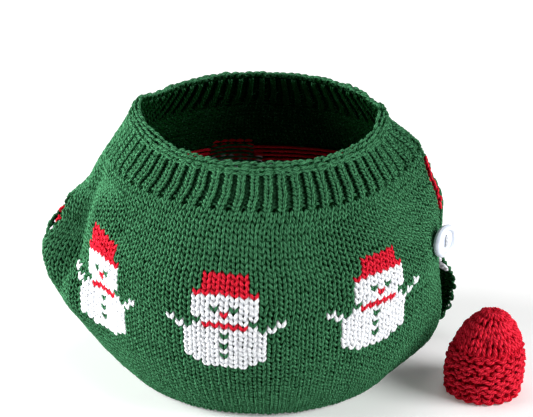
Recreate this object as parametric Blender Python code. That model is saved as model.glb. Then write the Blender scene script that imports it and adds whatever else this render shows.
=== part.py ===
"""Knitted tea cosy, standing on its hem, with the small knitted cover of the lid's knob beside it.

Two knitted panels, front and back, meet at the collar and below the spout slit. The left (-X) side
has a slit for the spout, with the cloth tented out over the spout's root, and the right (+X) side a
slit for the handle, closed half way up by a button. Sizes are in millimetres until a mesh is made,
and z is up. An azimuth is counted from the front (-Y) towards the handle (+X).
"""

from collections import namedtuple

import bmesh
import bpy
import numpy as np

MM = 0.001

# The cosy's axis, measured from the middle of the box around the cosy and the knob cover.
AXIS_X = -9.6
AXIS_Y = 0.4

CLOTH = 2.4  # thickness of the knitted sheet
SEAM_GAP = 0.3  # between the two panels where they are sewn together
SPOUT_SIDE = -90.0
HANDLE_SIDE = 90.0

# The sheet's middle line from the hem to the cast-off edge: at the front and back, along the
# ridge over the spout, and along each panel's edge on the handle side.
LinePoint = namedtuple("LinePoint", "radius height")
FRONT_LINE = [
    LinePoint(63.3, 1.2),
    LinePoint(69.0, 8.5),
    LinePoint(75.0, 18.0),
    LinePoint(79.5, 29.0),
    LinePoint(82.0, 41.0),
    LinePoint(82.4, 53.0),
    LinePoint(81.0, 65.0),
    LinePoint(78.0, 77.0),
    LinePoint(73.6, 88.5),
    LinePoint(67.5, 99.5),
    LinePoint(60.0, 109.0),
    LinePoint(53.0, 118.0),
]
SPOUT_LINE = [
    LinePoint(65.0, 1.2),
    LinePoint(73.5, 7.5),
    LinePoint(79.5, 15.0),
    LinePoint(86.3, 24.5),
    LinePoint(94.5, 34.5),
    LinePoint(99.5, 46.0),
    LinePoint(100.3, 57.0),
    LinePoint(98.0, 66.0),
    LinePoint(93.0, 73.5),
    LinePoint(86.5, 79.5),
    LinePoint(80.0, 85.5),
    LinePoint(75.8, 93.0),
    LinePoint(71.5, 100.0),
    LinePoint(66.5, 107.0),
    LinePoint(61.5, 115.0),
    LinePoint(56.2, 124.0),
]
HANDLE_LINE = [
    LinePoint(63.5, 1.2),
    LinePoint(74.0, 6.0),
    LinePoint(82.0, 15.0),
    LinePoint(85.5, 27.0),
    LinePoint(84.5, 40.0),
    LinePoint(83.0, 55.0),
    LinePoint(82.4, 70.0),
    LinePoint(82.2, 84.0),
    LinePoint(80.2, 92.5),
    LinePoint(76.0, 99.5),
    LinePoint(70.3, 105.8),
    LinePoint(63.8, 110.6),
    LinePoint(57.8, 114.6),
    LinePoint(54.0, 120.4),
]

# Shares of the way from hem to cast-off edge, along the cloth.
SPOUT_SLIT_FOOT = 0.39
SPOUT_SLIT_HEAD = 0.69
HANDLE_SLIT_HEAD = 0.88
HANDLE_SLIT_TAPER = 0.14  # over this share below its head, the slit widens
HANDLE_SLIT_FULL = 0.25  # the slit widens from the hem up to this share
BUTTON_SHARE = 0.55
MEETING_REACH = 0.085  # the edges meet under the button for about this share each way

# Half widths of the slits, from the plane of the spout and handle to a panel's edge.
SPOUT_SLIT_HALF = 9.0
HANDLE_SLIT_HALF = 16.0
HANDLE_SLIT_HALF_AT_HEM = 9.0
UNDER_BUTTON_Y = -9.0  # where the two edges meet under the button

# How far the bulges reach round the body, in degrees from the spout or the handle.
LOW_BULGE_REACH = 36.0
FLAP_REACH = 8.5
FLAP_TOP = 4.5
COLLAR_TOP = 2.0
COLLAR_RISE_REACH = {"front": 50.0, "back": 30.0}
HANDLE_FLARE_REACH = 34.0
HANDLE_CORNER_REACH = 17.0  # the same at the collar
FAR_EDGE_FLARE = 19.0  # of the back panel's edge, low beside the handle
FAR_EDGE_REACH = 26.0
BACK_RISE = 1.8  # of the back's cast-off edge over the front's

# Stretches of the way up, as shares, over which one shape passes into the next.
Passage = namedtuple("Passage", "start end")
BULGE_TO_FLAP = Passage(0.26, 0.48)
FLAP_TO_BULGE = Passage(0.70, 0.90)
BULGE_TO_COLLAR = Passage(0.74, 0.92)
FLARE_TO_CORNER = Passage(0.72, 0.92)
PULLED_TO_EVEN = Passage(0.70, 0.90)
BACK_RISES = Passage(0.75, 1.00)
FAR_EDGE_FLARES = Passage(-0.10, 0.46)

# Soft waves over the cloth: their height, how many run round the body, and how far each climbs.
Wave = namedtuple("Wave", "height turns climb")
WAVES = [Wave(0.55, 5, 7.0), Wave(0.30, 11, -9.0)]
BACK_PHASE = 1.9

# The stitches run round the body at an even pitch, set a little towards the spout.
PANEL_STITCHES = 70
STITCHES_LEFT = 33.5
MIDDLE_AZIMUTH = -9.1
PULLED_FROM = -62.0  # past this azimuth the stitches follow the flap over the spout

# Where the sheet is measured, in stitches from the middle one and in shares of the way up.
Stretch = namedtuple("Stretch", "start end steps")
STITCH_STRETCHES = [Stretch(-33.5, -21.5, 13), Stretch(-21.5, 28.0, 15), Stretch(28.0, 36.5, 5)]
SHARE_STRETCHES = [Stretch(0.0, 0.40, 9), Stretch(0.40, 1.0, 18)]
NORMAL_TURN = 0.4  # degrees and share over which the sheet's slope is taken
NORMAL_SHARE = 0.004

# The red strip behind the front panel's edge, from above the button to the slit's head.
EDGING_THICKNESS = 1.0
EDGING_LAP = 4.0
EDGING_SHOWS = 2.6
EDGING_MOST_OF_GAP = 0.35
EDGING_RUNS = Passage(BUTTON_SHARE + 0.07, HANDLE_SLIT_HEAD - 0.04)

BUTTON_RADIUS = 7.8
BUTTON_THICKNESS = 3.4
BUTTON_HOLE_RADIUS = 0.95
BUTTON_HOLE_SPACING = 4.4
BUTTON_PLACE = (83.2, -23.6, 68.0)
BUTTON_FACES = 51.0
BUTTON_SIDES = 40
HOLE_SIDES = 16

# The button's section: how far in from its rim, and how far over or under its middle plane.
RimPoint = namedtuple("RimPoint", "inset height")
BUTTON_SECTION = [
    RimPoint(1.6, -1.7),
    RimPoint(0.5, -1.2),
    RimPoint(0.0, -0.2),
    RimPoint(0.0, 0.4),
    RimPoint(0.5, 1.3),
    RimPoint(1.3, 1.7),
    RimPoint(2.1, 1.5),
    RimPoint(2.8, 0.8),
]
BUTTON_DISH = 0.6  # height of the dished face at the middle

KNOB_COVER_PLACE = (102.5, -38.0)
KNOB_COVER_WALL = 2.6
KNOB_COVER_SIDES = 24
KNOB_COVER_LEAN = (3.2, 0.6)
KNOB_COVER_LINE = [
    LinePoint(16.0, 1.3),
    LinePoint(16.6, 6.0),
    LinePoint(16.9, 12.0),
    LinePoint(16.4, 18.0),
    LinePoint(14.6, 24.0),
    LinePoint(11.8, 29.5),
    LinePoint(8.6, 34.0),
    LinePoint(5.2, 37.4),
    LinePoint(2.0, 38.9),
]

GREEN = (0.022, 0.130, 0.048, 1.0)
RED = (0.560, 0.012, 0.022, 1.0)
BUTTON_WHITE = (0.640, 0.700, 0.800, 1.0)


def clear_scene():
    for thing in list(bpy.data.objects):
        bpy.data.objects.remove(thing)


def material(name, colour, roughness):
    made = bpy.data.materials.new(name)
    made.use_nodes = True
    shader = made.node_tree.nodes["Principled BSDF"]
    shader.inputs["Base Color"].default_value = colour
    shader.inputs["Roughness"].default_value = roughness
    shader.inputs["Metallic"].default_value = 0.0
    return made


def add_object(name, mesh, finish):
    made = bpy.data.objects.new(name, mesh)
    made.data.materials.append(finish)
    bpy.context.scene.collection.objects.link(made)
    return made


def smooth_step(low, high, value):
    share = np.clip((value - low) / (high - low), 0.0, 1.0)
    return share * share * (3.0 - 2.0 * share)


def even_curve(points, steps=40):
    """A Catmull-Rom curve through the points, as (share of its length, coordinates)."""
    given = np.array(points, float)
    padded = np.vstack([2 * given[0] - given[1], given, 2 * given[-1] - given[-2]])
    along = np.linspace(0.0, 1.0, steps, endpoint=False)[:, None]
    stretches = []
    for before, start, end, after in zip(padded, padded[1:], padded[2:], padded[3:]):
        stretches.append(
            0.5
            * (
                2 * start
                + (end - before) * along
                + (2 * before - 5 * start + 4 * end - after) * along**2
                + (3 * start - before - 3 * end + after) * along**3
            )
        )
    curve = np.vstack(stretches + [given[-1:]])
    lengths = np.concatenate([[0.0], np.linalg.norm(np.diff(curve, axis=0), axis=1).cumsum()])
    return lengths / lengths[-1], curve


def on_curve(curve, share):
    """The curve's radius and height at each share of its length."""
    shares, points = curve
    return np.interp(share, shares, points[:, 0]), np.interp(share, shares, points[:, 1])


FRONT_CURVE = even_curve(FRONT_LINE)
SPOUT_CURVE = even_curve(SPOUT_LINE)
HANDLE_CURVE = even_curve(HANDLE_LINE)


def slit_shape(share, foot, head):
    """0 at the foot and head of a slit, 1 along its middle."""
    rise = smooth_step(foot, foot + 0.5 * (head - foot), share)
    return rise * (1.0 - smooth_step(head - 0.42 * (head - foot), head, share))


def soft_peak(away, reach):
    return np.cos(np.clip(np.abs(away) / reach, 0.0, 1.0) * np.pi / 2) ** 2


def spout_weight(azimuth, share, back):
    """How far the cloth is drawn out to the ridge over the spout."""
    rise_reach = COLLAR_RISE_REACH["back" if back else "front"]
    away = np.abs(azimuth - SPOUT_SIDE)
    low = soft_peak(away, LOW_BULGE_REACH)
    flap = 1.0 - smooth_step(FLAP_TOP, FLAP_REACH, away)
    collar = 1.0 - smooth_step(COLLAR_TOP, rise_reach, away)
    beside_spout = smooth_step(*BULGE_TO_FLAP, share) * (1.0 - smooth_step(*FLAP_TO_BULGE, share))
    above = smooth_step(*BULGE_TO_COLLAR, share)
    lower = low * (1.0 - beside_spout) + flap * beside_spout
    return lower * (1.0 - above) + collar * above


def handle_weight(azimuth, share):
    """How far the cloth takes the line of the edges on the handle side."""
    narrowing = HANDLE_CORNER_REACH - HANDLE_FLARE_REACH
    reach = HANDLE_FLARE_REACH + narrowing * smooth_step(*FLARE_TO_CORNER, share)
    return soft_peak(azimuth - HANDLE_SIDE, reach)


def ripple(azimuth, share, back):
    """The soft unevenness of cloth that is stretched by hand over a pot."""
    turn = np.radians(azimuth)
    phase = BACK_PHASE if back else 0.0
    heights = 0.0
    for number, wave in enumerate(WAVES, start=1):
        swing = wave.turns * turn + wave.climb * share + number * phase
        heights = heights + wave.height * np.sin(swing)
    return heights * np.sin(np.pi * share)


def body(azimuth, share, back):
    """Radius and height of the sheet's middle at an azimuth and share of the way up."""
    azimuth, share = np.broadcast_arrays(azimuth, share)
    radius, height = on_curve(FRONT_CURVE, share)
    spout_radius, spout_height = on_curve(SPOUT_CURVE, share)
    handle_radius, handle_height = on_curve(HANDLE_CURVE, share)
    to_spout = spout_weight(azimuth, share, back)
    to_handle = handle_weight(azimuth, share)
    radius = radius + to_spout * (spout_radius - radius)
    height = height + to_spout * (spout_height - height)
    radius = radius + to_handle * (handle_radius - radius)
    height = height + to_handle * (handle_height - height)
    if back:
        flare = soft_peak(azimuth - HANDLE_SIDE, FAR_EDGE_REACH) * slit_shape(share, *FAR_EDGE_FLARES)
        radius = radius + FAR_EDGE_FLARE * flare
        height = height + BACK_RISE * smooth_step(*BACK_RISES, share) * (1.0 - to_spout)
    return radius + ripple(azimuth, share, back), height


def handle_edge_y(share, back):
    """How far in front of (negative) the handle's plane a panel's edge runs, as the front's is."""
    widening = HANDLE_SLIT_HALF - HANDLE_SLIT_HALF_AT_HEM
    open_half = HANDLE_SLIT_HALF_AT_HEM + widening * smooth_step(0.0, HANDLE_SLIT_FULL, share)
    closing = 1.0 - smooth_step(HANDLE_SLIT_HEAD - HANDLE_SLIT_TAPER, HANDLE_SLIT_HEAD, share)
    near_button = np.exp(-(((share - BUTTON_SHARE) / MEETING_REACH) ** 4))
    side = 1.0 if back else -1.0
    meeting = UNDER_BUTTON_Y + side * SEAM_GAP
    y = side * open_half * (1.0 - near_button) + meeting * near_button
    return y * closing + side * SEAM_GAP / 2 * (1.0 - closing)


def edge_azimuths(share, back):
    """The azimuths of a panel's two edges, both counted as on the front panel."""
    spout_radius, _ = on_curve(SPOUT_CURVE, share)
    handle_radius, _ = on_curve(HANDLE_CURVE, share)
    side = 1.0 if back else -1.0
    opening = SPOUT_SLIT_HALF * slit_shape(share, SPOUT_SLIT_FOOT, SPOUT_SLIT_HEAD) + SEAM_GAP / 2
    at_spout = SPOUT_SIDE + np.degrees(np.arcsin(opening / spout_radius))
    inwards = side * handle_edge_y(share, back)
    at_handle = HANDLE_SIDE - np.degrees(np.arcsin(inwards / handle_radius))
    return at_spout, at_handle


def stitch_azimuths(stitches, share, back):
    """Azimuth of each stitch (counted from the middle one) at one share of the way up."""
    at_spout, at_handle = edge_azimuths(share, back)
    collar = float(smooth_step(*PULLED_TO_EVEN, share))
    last = PANEL_STITCHES - STITCHES_LEFT
    per_stitch = (at_handle - MIDDLE_AZIMUTH) / last
    from_middle = MIDDLE_AZIMUTH + stitches * per_stitch
    first_pulled = (PULLED_FROM - MIDDLE_AZIMUTH) / per_stitch
    fine = np.linspace(at_spout, PULLED_FROM, 240)
    radius, height = body(fine, share, back)
    turn = np.radians(fine)
    ring = np.stack([radius * np.sin(turn), radius * np.cos(turn), height], axis=-1)
    lengths = np.concatenate([[0.0], np.linalg.norm(np.diff(ring, axis=0), axis=1).cumsum()])
    along = (stitches + STITCHES_LEFT) / (first_pulled + STITCHES_LEFT)
    pulled = np.interp(along * lengths[-1], lengths, fine)
    on_body = np.where(stitches < first_pulled, pulled, from_middle)
    even = at_spout + (stitches + STITCHES_LEFT) / PANEL_STITCHES * (at_handle - at_spout)
    return on_body * (1.0 - collar) + even * collar


def place(azimuth, share, back):
    """The point of the sheet's middle, about the cosy's own axis."""
    radius, height = body(azimuth, share, back)
    turn = np.radians(azimuth)
    side = 1.0 if back else -1.0
    return np.stack([radius * np.sin(turn), side * radius * np.cos(turn), height], axis=-1)


def facing_out(azimuth, share, back):
    """Unit normals of the sheet, pointing away from the pot."""
    around = place(azimuth + NORMAL_TURN, share, back) - place(azimuth - NORMAL_TURN, share, back)
    low = np.clip(share - NORMAL_SHARE, 0.0, 1.0)
    high = np.clip(share + NORMAL_SHARE, 0.0, 1.0)
    up = place(azimuth, high, back) - place(azimuth, low, back)
    normal = np.cross(up, around) if back else np.cross(around, up)
    return normal / np.linalg.norm(normal, axis=-1, keepdims=True)


def sheet_mesh(name, outer, inner, flip):
    """A closed sheet between two grids of points, both given in millimetres."""
    rows, columns = outer.shape[:2]
    made = bmesh.new()
    grids = []
    for grid in (outer, inner):
        grids.append([[made.verts.new(point * MM) for point in row] for row in grid])
    faces = []
    for row in range(rows - 1):
        for column in range(columns - 1):
            corners = [(row, column), (row, column + 1), (row + 1, column + 1), (row + 1, column)]
            faces.append([grids[0][r][c] for r, c in corners])
            faces.append([grids[1][r][c] for r, c in reversed(corners)])
    rim = [(0, column) for column in range(columns)]
    rim += [(row, columns - 1) for row in range(1, rows)]
    rim += [(rows - 1, column) for column in range(columns - 2, -1, -1)]
    rim += [(row, 0) for row in range(rows - 2, 0, -1)]
    for (r0, c0), (r1, c1) in zip(rim, rim[1:] + rim[:1]):
        faces.append([grids[0][r1][c1], grids[0][r0][c0], grids[1][r0][c0], grids[1][r1][c1]])
    for corners in faces:
        made.faces.new(corners[::-1] if flip else corners)
    mesh = bpy.data.meshes.new(name)
    made.to_mesh(mesh)
    made.free()
    mesh.shade_smooth()
    mesh.set_sharp_from_angle(angle=np.radians(50))
    return mesh


def own_side(points, share, back):
    """The points' y, kept on the panel's own side of the seams."""
    if not back:
        return np.minimum(points[:, 1], -SEAM_GAP / 2)
    beside_handle = np.minimum(handle_edge_y(share, back), SEAM_GAP / 2)
    limit = np.where(points[:, 0] > 0.0, beside_handle, SEAM_GAP / 2)
    return np.maximum(points[:, 1], limit)


def samples(stretches):
    """Evenly spaced values along each stretch, and the end of the last one."""
    parts = [np.linspace(*stretch, endpoint=False) for stretch in stretches]
    return np.concatenate(parts + [[stretches[-1].end]])


def panel(name, back, finish):
    stitches, shares = samples(STITCH_STRETCHES), samples(SHARE_STRETCHES)
    outer, inner = [], []
    for share in shares:
        azimuths = stitch_azimuths(stitches, share, back)
        middle = place(azimuths, share, back)
        out = facing_out(azimuths, share, back)
        sides = []
        for offset in (CLOTH / 2, -CLOTH / 2):
            points = middle + offset * out
            points[0, 1], points[-1, 1] = middle[0, 1], middle[-1, 1]
            points[:, 1] = own_side(points, share, back)
            if share == 0.0:
                points[:, 2] = 0.0
            sides.append(points)
        outer.append(sides[0])
        inner.append(sides[1])
    shift = np.array([AXIS_X, AXIS_Y, 0.0])
    mesh = sheet_mesh(name, np.array(outer) + shift, np.array(inner) + shift, flip=back)
    return add_object(name, mesh, finish)


def slit_edging(finish):
    """The strip behind the front panel's edge, from the head of the handle slit to the button."""
    outer, inner = [], []
    depth = CLOTH / 2 + SEAM_GAP + EDGING_THICKNESS / 2
    for share in np.linspace(*EDGING_RUNS, 16):
        _, at_edge = edge_azimuths(share, False)
        radius, _ = on_curve(HANDLE_CURVE, share)
        gap = handle_edge_y(share, True) - handle_edge_y(share, False)
        shows = min(EDGING_SHOWS, EDGING_MOST_OF_GAP * gap)
        across = np.linspace(-EDGING_LAP, shows, 5)
        azimuths = at_edge + np.degrees(across / radius)
        middle = place(azimuths, share, False)
        out = facing_out(azimuths, share, False)
        outer.append(middle - (depth - EDGING_THICKNESS / 2) * out)
        inner.append(middle - (depth + EDGING_THICKNESS / 2) * out)
    shift = np.array([AXIS_X, AXIS_Y, 0.0])
    mesh = sheet_mesh("slit_edging", np.array(outer) + shift, np.array(inner) + shift, flip=False)
    return add_object("slit_edging", mesh, finish)


def turned_mesh(name, outline, sides, centre_line=None):
    """A body turned about z from a closed outline of (radius, height), in millimetres.

    centre_line moves each ring sideways by its height. Points on the axis become one vertex.
    """
    made = bmesh.new()
    turns = np.linspace(0.0, 2 * np.pi, sides, endpoint=False)
    rings = []
    for radius, height in outline:
        x, y = centre_line(height) if centre_line else (0.0, 0.0)
        if radius == 0.0:
            rings.append([made.verts.new((x * MM, y * MM, height * MM))] * sides)
            continue
        ring = []
        for turn in turns:
            point = (x + radius * np.cos(turn), y + radius * np.sin(turn), height)
            ring.append(made.verts.new([value * MM for value in point]))
        rings.append(ring)
    for below, above in zip(rings, rings[1:] + rings[:1]):
        for side in range(sides):
            following = (side + 1) % sides
            corners = [below[side], below[following], above[following], above[side]]
            distinct = list(dict.fromkeys(corners))
            if len(distinct) > 2:
                made.faces.new(distinct)
    mesh = bpy.data.meshes.new(name)
    made.to_mesh(mesh)
    made.free()
    mesh.shade_smooth()
    mesh.set_sharp_from_angle(angle=np.radians(40))
    return mesh


def button(finish):
    """A disc with a rounded rim, a dished face and two thread holes."""
    outline = [(0.0, -BUTTON_THICKNESS / 2)]
    outline += [(BUTTON_RADIUS - point.inset, point.height) for point in BUTTON_SECTION]
    outline += [(0.0, BUTTON_DISH)]
    disc = add_object("button", turned_mesh("button", outline, BUTTON_SIDES), finish)
    for sign in (-1, 1):
        bpy.ops.mesh.primitive_cylinder_add(
            vertices=HOLE_SIDES,
            radius=BUTTON_HOLE_RADIUS * MM,
            depth=4 * BUTTON_THICKNESS * MM,
            location=(0.0, sign * BUTTON_HOLE_SPACING / 2 * MM, 0.0),
        )
        drill = bpy.context.object
        drill.name = f"thread_hole_guide_{'a' if sign < 0 else 'b'}"
        drill.hide_render = True
        drill.display_type = "WIRE"
        drill.parent = disc
        cut = disc.modifiers.new("thread hole", "BOOLEAN")
        cut.object = drill
        cut.operation = "DIFFERENCE"
        cut.solver = "EXACT"
    x, y, z = BUTTON_PLACE
    disc.location = ((AXIS_X + x) * MM, (AXIS_Y + y) * MM, z * MM)
    disc.rotation_euler = (np.radians(90.0), 0.0, np.radians(BUTTON_FACES))
    return disc


def knob_cover(finish):
    """A hollow cap, open below, whose gathered crown leans to one side."""
    _, line = even_curve(KNOB_COVER_LINE, steps=2)
    direction = np.gradient(line, axis=0)
    direction /= np.linalg.norm(direction, axis=1, keepdims=True)
    out = np.stack([direction[:, 1], -direction[:, 0]], axis=1)
    outside = line + out * KNOB_COVER_WALL / 2
    inside = line - out * KNOB_COVER_WALL / 2
    outside[0, 1] = inside[0, 1] = 0.0
    top = line[-1, 1] + 0.3
    inside = inside[inside[:, 0] > 0.6]
    outline = [(0.0, top + KNOB_COVER_WALL / 2)] + [tuple(point) for point in outside[::-1]]
    outline += [tuple(point) for point in inside] + [(0.0, top - KNOB_COVER_WALL / 2)]
    tall = line[-1, 1]

    def lean(height):
        bend = (max(height, 0.0) / tall) ** 2
        return KNOB_COVER_LEAN[0] * bend, KNOB_COVER_LEAN[1] * bend

    mesh = turned_mesh("knob_cover", outline[::-1], KNOB_COVER_SIDES, lean)
    cover = add_object("knob_cover", mesh, finish)
    x, y = KNOB_COVER_PLACE
    cover.location = ((AXIS_X + x) * MM, (AXIS_Y + y) * MM, 0.0)
    return cover


def main():
    clear_scene()
    panel("front_panel", False, material("green_yarn_front", GREEN, 0.9))
    panel("back_panel", True, material("green_yarn_back", GREEN, 0.9))
    slit_edging(material("red_yarn_edging", RED, 0.9))
    button(material("white_button", BUTTON_WHITE, 0.35))
    knob_cover(material("red_yarn_cover", RED, 0.9))


main()
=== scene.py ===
"""Knitted tea cosy with its small knob cover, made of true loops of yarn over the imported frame.

Every stitch is a loop of a strand that runs along its course, in front of the cloth and behind it,
so the outside shows knit columns and the inside shows purl bumps. The loops follow the same sheets
as the frame's solids. Lengths are in millimetres until a mesh is made, and z is up. An azimuth is
counted in degrees from the front (-Y) towards the handle slit (+X). A share of the way up runs from
0 at the hem to 1 at the rim, and a share across a panel from 0 at the spout to 1 at the handle.
"""

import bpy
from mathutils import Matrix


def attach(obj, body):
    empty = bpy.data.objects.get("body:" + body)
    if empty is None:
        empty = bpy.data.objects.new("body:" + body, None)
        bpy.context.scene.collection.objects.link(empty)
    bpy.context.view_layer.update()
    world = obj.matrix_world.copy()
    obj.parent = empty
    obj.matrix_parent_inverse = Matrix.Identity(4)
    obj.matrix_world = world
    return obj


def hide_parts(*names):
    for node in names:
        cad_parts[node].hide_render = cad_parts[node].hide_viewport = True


bl_info = {
    "name": "Knitted Tea Cosy",
    "version": (1, 0, 0),
    "blender": (4, 5, 0),
    "location": "View3D > Sidebar > Tea Cosy",
    "description": "Knits a tea cosy and a lid knob's cover over their frame, loop by loop",
    "category": "Add Mesh",
}

from collections import namedtuple

import bpy
import numpy as np
from bpy.props import FloatProperty, FloatVectorProperty, PointerProperty
from mathutils import Matrix, Vector

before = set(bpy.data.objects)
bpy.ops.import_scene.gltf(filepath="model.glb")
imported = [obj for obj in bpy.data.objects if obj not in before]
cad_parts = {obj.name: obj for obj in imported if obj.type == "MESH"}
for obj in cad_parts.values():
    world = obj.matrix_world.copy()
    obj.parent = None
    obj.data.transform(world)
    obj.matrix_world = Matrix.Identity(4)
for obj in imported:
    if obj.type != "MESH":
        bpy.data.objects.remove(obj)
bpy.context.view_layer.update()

MM = 0.001
FULL_TURN = 2 * np.pi
FRONT = -1  # a panel's side, as the sign of its y
BACK = 1

# ---------------- the sheet, as in the frame

AXIS = (-9.6, 0.4, 0.0)
CLOTH = 2.4
SEAM_GAP = 0.3
SPOUT_SIDE = -90.0
HANDLE_SIDE = 90.0

# The sheet's line up each side, as (radius, height).
FRONT_LINE = [
    (63.3, 1.2), (69.0, 8.5), (75.0, 18.0), (79.5, 29.0), (82.0, 41.0), (82.4, 53.0), (81.0, 65.0),
    (78.0, 77.0), (73.6, 88.5), (67.5, 99.5), (60.0, 109.0), (53.0, 118.0),
]
SPOUT_LINE = [
    (65.0, 1.2), (73.5, 7.5), (79.5, 15.0), (86.3, 24.5), (94.5, 34.5), (99.5, 46.0), (100.3, 57.0),
    (98.0, 66.0), (93.0, 73.5), (86.5, 79.5), (80.0, 85.5), (75.8, 93.0), (71.5, 100.0),
    (66.5, 107.0), (61.5, 115.0), (56.2, 124.0),
]
HANDLE_LINE = [
    (63.5, 1.2), (74.0, 6.0), (82.0, 15.0), (85.5, 27.0), (84.5, 40.0), (83.0, 55.0), (82.4, 70.0),
    (82.2, 84.0), (80.2, 92.5), (76.0, 99.5), (70.3, 105.8), (63.8, 110.6), (57.8, 114.6),
    (54.0, 120.4),
]

Passage = namedtuple("Passage", "start end")  # a stretch, often one that something grows over

# Shares of the way up.
SPOUT_SLIT = Passage(0.39, 0.69)
SLIT_OPENS = 0.5  # of a slit's height, from its foot
SLIT_CLOSES = 0.42  # of a slit's height, up to its head
HANDLE_SLIT_HEAD = 0.88
HANDLE_SLIT_TAPER = 0.14
HANDLE_SLIT_FULL = 0.25
BUTTON_SHARE = 0.55
MEETING_REACH = 0.085
BULGE_TO_FLAP = Passage(0.26, 0.48)
FLAP_TO_BULGE = Passage(0.70, 0.90)
BULGE_TO_COLLAR = Passage(0.74, 0.92)
FLARE_TO_CORNER = Passage(0.72, 0.92)
PULLED_TO_EVEN = Passage(0.70, 0.90)  # from stitches pulled to the spout to even ones
BACK_RISES = Passage(0.75, 1.00)
FAR_EDGE_FLARES = Passage(-0.10, 0.46)
RIM_DIPS = Passage(0.80, 1.00)
RIM_DIP = 0.018  # by which the front's rim lies lower in its middle

# Widths, heights and a place, in millimetres.
SPOUT_SLIT_HALF = 9.0
HANDLE_SLIT_HALF = 16.0
HANDLE_SLIT_HALF_AT_HEM = 9.0
UNDER_BUTTON_Y = -9.0
FAR_EDGE_FLARE = 19.0
BACK_RISE = 1.8

# Reaches round the cosy, in degrees.
LOW_BULGE_REACH = 36.0
FLAP_REACH = 8.5
FLAP_TOP = 4.5
COLLAR_TOP = 2.0
COLLAR_RISE_REACH = {FRONT: 50.0, BACK: 30.0}
HANDLE_FLARE_REACH = 34.0
HANDLE_CORNER_REACH = 17.0
FAR_EDGE_REACH = 26.0

Wave = namedtuple("Wave", "height turns climb")
WAVES = [Wave(0.55, 5, 7.0), Wave(0.30, 11, -9.0)]
PHASE = {FRONT: 0.0, BACK: 1.9}

PANEL_STITCHES = 70
STITCHES_LEFT = 33.5  # of the middle one
MIDDLE_AZIMUTH = -9.1
PULLED_FROM = -62.0
NORMAL_TURN = 0.4  # degrees
NORMAL_SHARE = 0.004

EDGING_THICKNESS = 1.0
EDGING_LAP = 4.0
EDGING_SHOWS = 2.6
EDGING_MOST_OF_GAP = 0.35
EDGING_RUNS = Passage(BUTTON_SHARE + 0.07, HANDLE_SLIT_HEAD - 0.04)

KNOB_COVER_PLACE = (102.5, -38.0)
KNOB_COVER_LEAN = (3.2, 0.6)
KNOB_COVER_LINE = [
    (16.0, 1.3), (16.6, 6.0), (16.9, 12.0), (16.4, 18.0), (14.6, 24.0), (11.8, 29.5), (8.6, 34.0),
    (5.2, 37.4), (2.0, 38.9),
]
Fold = namedtuple("Fold", "turn share reach height depth")
KNOB_FOLD = Fold(turn=4.42, share=0.66, reach=0.42, height=0.16, depth=2.2)

CURVE_STEPS = 40  # between two points of a line
PULL_STEPS = 240
PANEL_GRID = (127, 141)  # rows and columns in which each sheet is worked out
EDGING_GRID = (61, 9)
KNOB_GRID = (81, 97)


def smooth_step(low, high, value):
    share = np.clip((value - low) / (high - low), 0.0, 1.0)
    return share * share * (3.0 - 2.0 * share)


def soft_peak(away, reach):
    return np.cos(np.clip(np.abs(away) / reach, 0.0, 1.0) * np.pi / 2) ** 2


def blend(first, second, share):
    return first * (1.0 - share) + second * share


def unit(vectors):
    return vectors / np.linalg.norm(vectors, axis=-1, keepdims=True)


def run_lengths(points):
    """The length of a line from its start up to each of its points."""
    return np.concatenate([[0.0], np.linalg.norm(np.diff(points, axis=0), axis=1).cumsum()])


def fine_line(points, steps):
    """The points with a Catmull-Rom curve's points between them."""
    points = np.asarray(points, float)
    padded = np.vstack([2 * points[0] - points[1], points, 2 * points[-1] - points[-2]])
    before, start, end, after = padded[:-3], padded[1:-2], padded[2:-1], padded[3:]
    square = 2 * before - 5 * start + 4 * end - after
    cube = 3 * start - before - 3 * end + after
    shares = np.arange(steps) / steps
    curves = [0.5 * (2 * start + (end - before) * t + square * t**2 + cube * t**3) for t in shares]
    return np.vstack([np.stack(curves, axis=1).reshape(-1, points.shape[1]), points[-1:]])


def even_curve(points):
    """A curve through the points, as (share of its length, coordinates)."""
    curve = fine_line(points, CURVE_STEPS)
    lengths = run_lengths(curve)
    return lengths / lengths[-1], curve


def on_curve(curve, share):
    """The curve's two coordinates at each share of its length."""
    shares, points = curve
    return np.interp(share, shares, points[:, 0]), np.interp(share, shares, points[:, 1])


FRONT_CURVE = even_curve(FRONT_LINE)
SPOUT_CURVE = even_curve(SPOUT_LINE)
HANDLE_CURVE = even_curve(HANDLE_LINE)


def slit_shape(share, foot, head):
    """0 at the foot and head of a slit, 1 along its middle."""
    opened = smooth_step(foot, foot + SLIT_OPENS * (head - foot), share)
    return opened * (1.0 - smooth_step(head - SLIT_CLOSES * (head - foot), head, share))


def spout_weight(azimuth, share, side):
    """How far the cloth is drawn out to the ridge over the spout."""
    away = np.abs(azimuth - SPOUT_SIDE)
    low = soft_peak(away, LOW_BULGE_REACH)
    flap = 1.0 - smooth_step(FLAP_TOP, FLAP_REACH, away)
    collar = 1.0 - smooth_step(COLLAR_TOP, COLLAR_RISE_REACH[side], away)
    beside_spout = smooth_step(*BULGE_TO_FLAP, share) * (1.0 - smooth_step(*FLAP_TO_BULGE, share))
    return blend(blend(low, flap, beside_spout), collar, smooth_step(*BULGE_TO_COLLAR, share))


def handle_weight(azimuth, share):
    """How far the cloth takes the line of the edges on the handle side."""
    reach = blend(HANDLE_FLARE_REACH, HANDLE_CORNER_REACH, smooth_step(*FLARE_TO_CORNER, share))
    return soft_peak(azimuth - HANDLE_SIDE, reach)


def ripple(azimuth, share, side):
    """The soft unevenness of cloth that is stretched by hand over a pot."""
    heights = 0.0
    for number, wave in enumerate(WAVES, start=1):
        swing = wave.turns * np.radians(azimuth) + wave.climb * share + number * PHASE[side]
        heights = heights + wave.height * np.sin(swing)
    return heights * np.sin(np.pi * share)


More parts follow.
